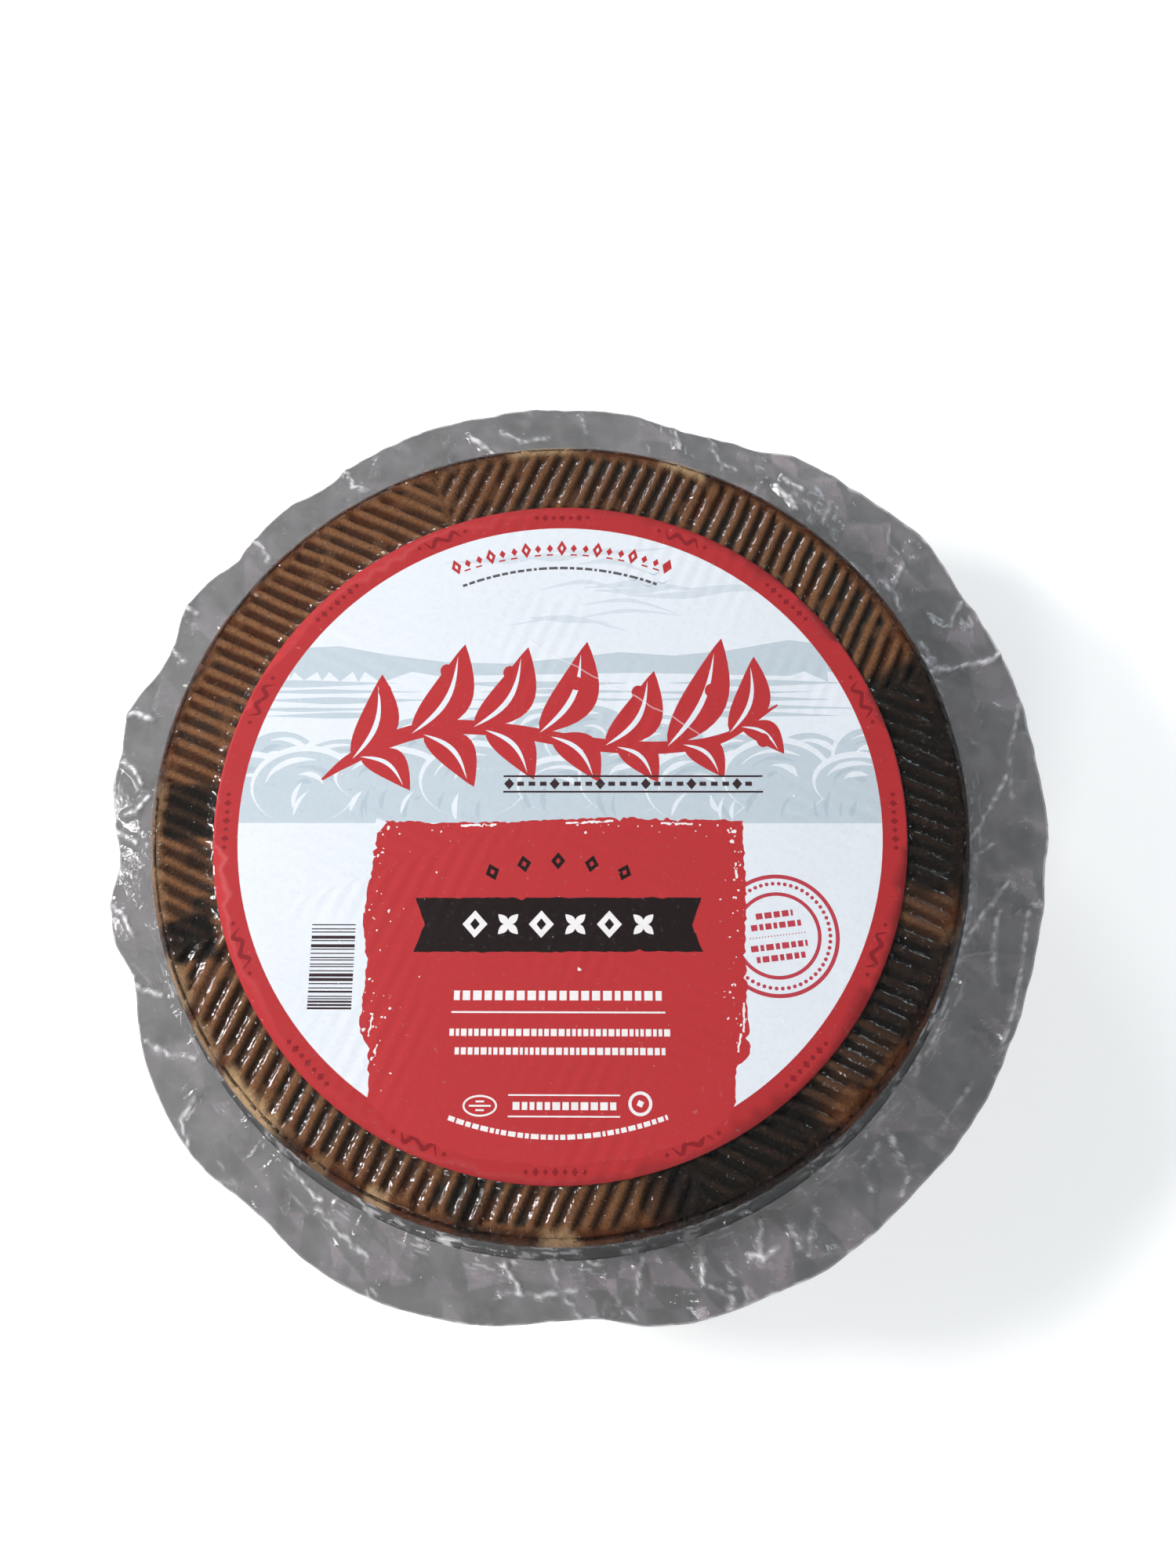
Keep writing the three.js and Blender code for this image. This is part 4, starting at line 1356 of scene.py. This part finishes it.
def make_cup():
    outer, inner = [], []

    def put(p, nn):
        outer.append(p)
        inner.append(p - nn * FT)

    for r, n in [(3, 60), (10, 60), (20, 120), (32, 240), (42, 240), (50, 480), (56, 480), (61, 480), (66, 960), (70, 960)] + [(float(q), 960) for q in np.arange(73, 100, 1.9)]:
        t, c, s = circle(n)
        x, y = r * c, r * s
        d, rough, groove, u, jit = face_height(x, y, 31.0, -1.0)
        z = 0.02 + 0.28 * np.clip(d, 0, 1.6) * (1 - sstep(96, 100, r))
        o = np.zeros(n)
        put(np.stack([x, y, z], 1), np.stack([o, o, o - 1], 1))
    n = 960
    t, c, s = circle(n)
    e = EDGE + 0.3
    for a in (80, 64, 48, 32, 16, 0):
        q = math.radians(a)
        off = e + 0.05 * noise(t * 14, t * 0 + a / 30, 541) + 0.15 * (1 - a / 80)
        rr = R - EDGE + off * math.cos(q)
        z = Z0 + EDGE - off * math.sin(q)
        put(np.stack([rr * c, rr * s, np.maximum(z, 0.02)], 1), np.stack([c * math.cos(q), s * math.cos(q), np.full(n, -math.sin(q))], 1))
    zf = FLANGE_Z - 0.42
    lo = Z0 + EDGE
    for z in np.linspace(lo + 1.5, zf - 4.0, 17):
        h = (z - lo) / (zf - 4.0 - lo)
        dd, rough, groove = side_height(t * R, np.full(n, z))
        sink = 0.0 * dd
        rr = R + FT + 0.10 + wall_offset(t + 1.0, np.full(n, h)) - sink
        slack = 0.35 * np.maximum(0, fbm(t * R / 16, np.full(n, z / 30), 3, 551))
        put(np.stack([(rr + slack) * c, (rr + slack) * s, np.full(n, z)], 1), np.stack([c, s, c * 0], 1))
    base = R + FT + 0.10 + wall_offset(t + 1.0, np.full(n, 1.0)) + 0.35 * np.maximum(0, fbm(t * R / 16, np.full(n, (zf - 4.0) / 30), 3, 551))
    for a in (160, 140, 120, 103, 90):
        q = math.radians(a)
        rad = ROOT_R + 0.25 - base
        rr = ROOT_R + 0.25 + rad * math.cos(q)
        f0, _ = flange_shape(t, np.full(n, 0.0))
        zz = zf - 4.0 + 4.0 * math.sin(q) + np.minimum(f0, 0) * (1 - (a - 90) / 80)
        put(np.stack([rr * c, rr * s, zz], 1), np.stack([-c * math.cos(q), -s * math.cos(q), np.full(n, -math.sin(q))], 1))
    ob, co = rings_mesh("film_cup", outer + inner[::-1])
    r = np.hypot(co[:, 0], co[:, 1])
    attribute(ob, "weld", sstep(FLANGE_Z - 7.0, FLANGE_Z - 1.5, co[:, 2]) * sstep(R + 0.3, R + 1.6, r))
    attribute(ob, "whitening_and_glint", r * 0)
    attribute(ob, "side", r * 0 + 1)
    attribute(ob, "cling", r * 0)
    return ob


def film_material(name, haze, tint, rough=0.055, seal=False, gloss=0.0105):
    m = bpy.data.materials.new(name)
    g = Nodes(m)
    p = coords_mm(g)
    lw = g.node("ShaderNodeLayerWeight")
    lw.inputs["Blend"].default_value = 0.5
    face = V(g, lw.outputs["Facing"])
    f = g.math("POWER", face, 5.0)
    side = V(g, g.node("ShaderNodeAttribute", attribute_name="side").outputs["Fac"])
    tr = g.node("ShaderNodeBsdfTransparent")
    gl = g.node("ShaderNodeBsdfGlossy")
    gl.inputs["Roughness"].default_value = rough
    gl.inputs["Color"].default_value = (1, 1, 1, 1)
    n1 = g.noise(p, 0.12, 3, 0.55)
    n2 = g.noise(p, 0.9, 3, 0.6)
    beads = g.step(0.64, 0.72, g.noise(p, 0.75, 2, 0.5))
    cling = V(g, g.node("ShaderNodeAttribute", attribute_name="cling").outputs["Fac"])
    if seal:
        crease = V(g, g.node("ShaderNodeAttribute", attribute_name="crease").outputs["Fac"])
        fac = gloss * (0.30 + 0.75 * crease) + f * 0.25
    else:
        fac = (gloss * (0.25 + 1.5 * g.step(0.50, 0.60, n2)) + f * 0.08) * (1.0 - 0.72 * cling) + side * 0.008 + beads * 0.028
    height = n1 * 1.0 + n2 * 0.25 + beads * (0.3 if seal else 1.3)
    b = bump(g, height, 0.7, 0.0007 if seal else 0.0003)
    g.link(b, gl.inputs["Normal"])
    base = g.node("ShaderNodeBsdfDiffuse")
    if seal:
        painted_facet_sheen = V(g, g.node("ShaderNodeAttribute", attribute_name="painted_facet_sheen").outputs["Fac"])
        whitening_and_glint = V(g, g.node("ShaderNodeAttribute", attribute_name="whitening_and_glint").outputs["Fac"])
        soft = g.noise(p, 0.16, 4, 0.6)
        # painted reflection: the facet value lifts the grey film towards a lighter pink
        colour = g.mix(painted_facet_sheen * (0.55 + 0.9 * soft) * 0.85, tint, (0.26, 0.215, 0.245))
        # painted highlight: lighter grey streaks where the seal is crumpled
        crease_sheen = g.step(0.55, 0.72, g.noise(p, 0.35, 4, 0.65)) * crease
        colour = g.mix(crease_sheen * 0.35, colour, (0.42, 0.41, 0.43))
        # stress whitening and painted highlight: whitened folds and lines are mixed in as pale grey and made less clear
        colour = g.mix(whitening_and_glint, colour, (0.86, 0.85, 0.87))
        g.link(colour, base.inputs["Color"])
        hz = haze * (0.88 + 0.24 * n1) + whitening_and_glint * 0.3
    else:
        weld = V(g, g.node("ShaderNodeAttribute", attribute_name="weld").outputs["Fac"])
        whitening_and_glint = V(g, g.node("ShaderNodeAttribute", attribute_name="whitening_and_glint").outputs["Fac"])
        colour = g.mix(weld, tint, (0.075, 0.074, 0.076))
        # stress whitening and painted highlight: the whitened line at the weld is mixed in as pale grey
        g.link(g.mix(whitening_and_glint, colour, (0.86, 0.85, 0.87)), base.inputs["Color"])
        hz = haze * (0.6 + 0.8 * n1) * (1.0 - weld) + weld * 0.56 + whitening_and_glint * 0.35
    mixh = g.node("ShaderNodeMixShader")
    g.put(mixh.inputs[0], hz)
    g.link(tr.outputs[0], mixh.inputs[1])
    g.link(base.outputs[0], mixh.inputs[2])
    mixg = g.node("ShaderNodeMixShader")
    g.put(mixg.inputs[0], fac)
    g.link(mixh.outputs[0], mixg.inputs[1])
    g.link(gl.outputs[0], mixg.inputs[2])
    out = g.node("ShaderNodeOutputMaterial")
    g.link(mixg.outputs[0], out.inputs["Surface"])
    return m


ROOT_R = 109.3

wheel = make_wheel()
wheel.data.materials.append(rind_material())
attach(wheel, "root")
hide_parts("cheese_wheel")

label = make_label()
label.data.materials.append(label_material())
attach(label, "root")
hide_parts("label")

cap = make_cap()
cap.data.materials.append(film_material("film_clear_top", 0.003, (0.55, 0.55, 0.57)))
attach(cap, "root")
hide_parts("upper_film")

cup = make_cup()
cup.data.materials.append(film_material("film_clear_side", 0.004, (0.55, 0.55, 0.57)))
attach(cup, "root")
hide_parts("lower_film")

seal = make_seal()
seal.data.materials.append(film_material("film_welded", 0.655, (0.070, 0.069, 0.071), rough=0.04, seal=True, gloss=0.035))
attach(seal, "root")
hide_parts("seal_flange")

# ------------------------------------------------------------------ camera
n = Vector((-0.015, -0.271, -1.0)).normalized()
c = Vector((-7.324, 9.284, 297.54))
u = Vector((0, 1, 0)).cross(n).normalized()
v = n.cross(u)
label_centre = Vector((LX, LY, LZ))
pos = label_centre + Vector((c.dot(u), c.dot(v), -c.dot(n)))
right = Vector((-u.x, -v.x, n.x))
down = Vector((-u.y, -v.y, n.y))
ahead = Vector((-u.z, -v.z, n.z))
cam = bpy.data.cameras.new("camera")
cam_ob = bpy.data.objects.new("camera", cam)
bpy.context.collection.objects.link(cam_ob)
cam.sensor_width = 36
cam.lens = 1503 / 2000 * 36
cam.clip_start, cam.clip_end = 0.01, 20
cam_ob.matrix_world = Matrix((
    (right.x, -down.x, -ahead.x, pos.x * MM),
    (right.y, -down.y, -ahead.y, pos.y * MM),
    (right.z, -down.z, -ahead.z, pos.z * MM),
    (0, 0, 0, 1),
))
bpy.context.scene.camera = cam_ob

# ------------------------------------------------------------------ light and floor
def softbox(name, azimuth, zenith, distance, size, watts, colour=(1, 1, 1)):
    """azimuth is anticlockwise from +X, zenith is degrees from straight up."""
    l = bpy.data.lights.new(name, "AREA")
    l.shape = "RECTANGLE"
    l.size, l.size_y = size
    l.energy = watts
    l.color = colour
    o = bpy.data.objects.new(name, l)
    a, z = math.radians(azimuth), math.radians(zenith)
    d = Vector((math.sin(z) * math.cos(a), math.sin(z) * math.sin(a), math.cos(z)))
    o.location = Vector((0, 0, 0.06)) + d * distance
    o.rotation_mode = "QUATERNION"
    o.rotation_quaternion = d.to_track_quat("Z", "Y")
    bpy.context.collection.objects.link(o)
    return o


softbox("key_left", 172, 50, 1.0, (0.22, 0.16), 7.9, (1.0, 0.985, 0.975))
softbox("back_left", 118, 60, 1.8, (0.42, 0.20), 9.1, (0.97, 0.98, 1.0))
softbox("back_right", 48, 62, 1.8, (0.34, 0.20), 2.8, (0.80, 0.93, 1.0))
softbox("front", 248, 48, 1.8, (0.44, 0.20), 8.6, (1.0, 0.99, 0.98))
softbox("right", -8, 62, 1.8, (0.26, 0.26), 1.4, (0.80, 0.93, 1.0))
softbox("strip_front", 292, 80, 1.6, (0.10, 0.55), 1.6)
softbox("strip_side", 20, 80, 1.6, (0.10, 0.55), 1.3)
softbox("strip_back", 150, 80, 1.6, (0.10, 0.55), 1.6)
world = bpy.data.worlds.new("world")
bpy.context.scene.world = world
world.use_nodes = True
wt = world.node_tree
wt.nodes.clear()
bg = wt.nodes.new("ShaderNodeBackground")
bg.inputs["Color"].default_value = (0.82, 0.93, 1.0, 1)
# a soft ring of light near the horizon and a darker ceiling
tc = wt.nodes.new("ShaderNodeTexCoord")
sp = wt.nodes.new("ShaderNodeSeparateXYZ")
wt.links.new(tc.outputs["Generated"], sp.inputs[0])
mr = wt.nodes.new("ShaderNodeMapRange")
mr.interpolation_type = "SMOOTHSTEP"
for k, val in ((1, 0.42), (2, 0.80), (3, 0.45), (4, 0.09)):
    mr.inputs[k].default_value = val
wt.links.new(sp.outputs["Z"], mr.inputs[0])
mx = wt.nodes.new("ShaderNodeMapRange")
for k, val in ((1, -1.0), (2, 1.0), (3, 1.22), (4, 0.66)):
    mx.inputs[k].default_value = val
wt.links.new(sp.outputs["X"], mx.inputs[0])
mm = wt.nodes.new("ShaderNodeMath")
mm.operation = "MULTIPLY"
wt.links.new(mr.outputs[0], mm.inputs[0])
wt.links.new(mx.outputs[0], mm.inputs[1])
wt.links.new(mm.outputs[0], bg.inputs["Strength"])
wo = wt.nodes.new("ShaderNodeOutputWorld")
wt.links.new(bg.outputs[0], wo.inputs[0])

fm = bpy.data.meshes.new("floor")
fm.from_pydata([(-25, -25, 0), (25, -25, 0), (25, 25, 0), (-25, 25, 0)], [], [(0, 1, 2, 3)])
floor = bpy.data.objects.new("floor", fm)
bpy.context.collection.objects.link(floor)
mat = bpy.data.materials.new("floor")
g = Nodes(mat)
pr, out = principled(g, Base_Color=(0.93, 0.93, 0.93), Roughness=0.9)
pr.inputs["Emission Color"].default_value = (1, 1, 1, 1)
pr.inputs["Emission Strength"].default_value = 0.42
fm.materials.append(mat)

bpy.context.scene.view_settings.view_transform = "Standard"
bpy.context.scene.view_settings.look = "None"
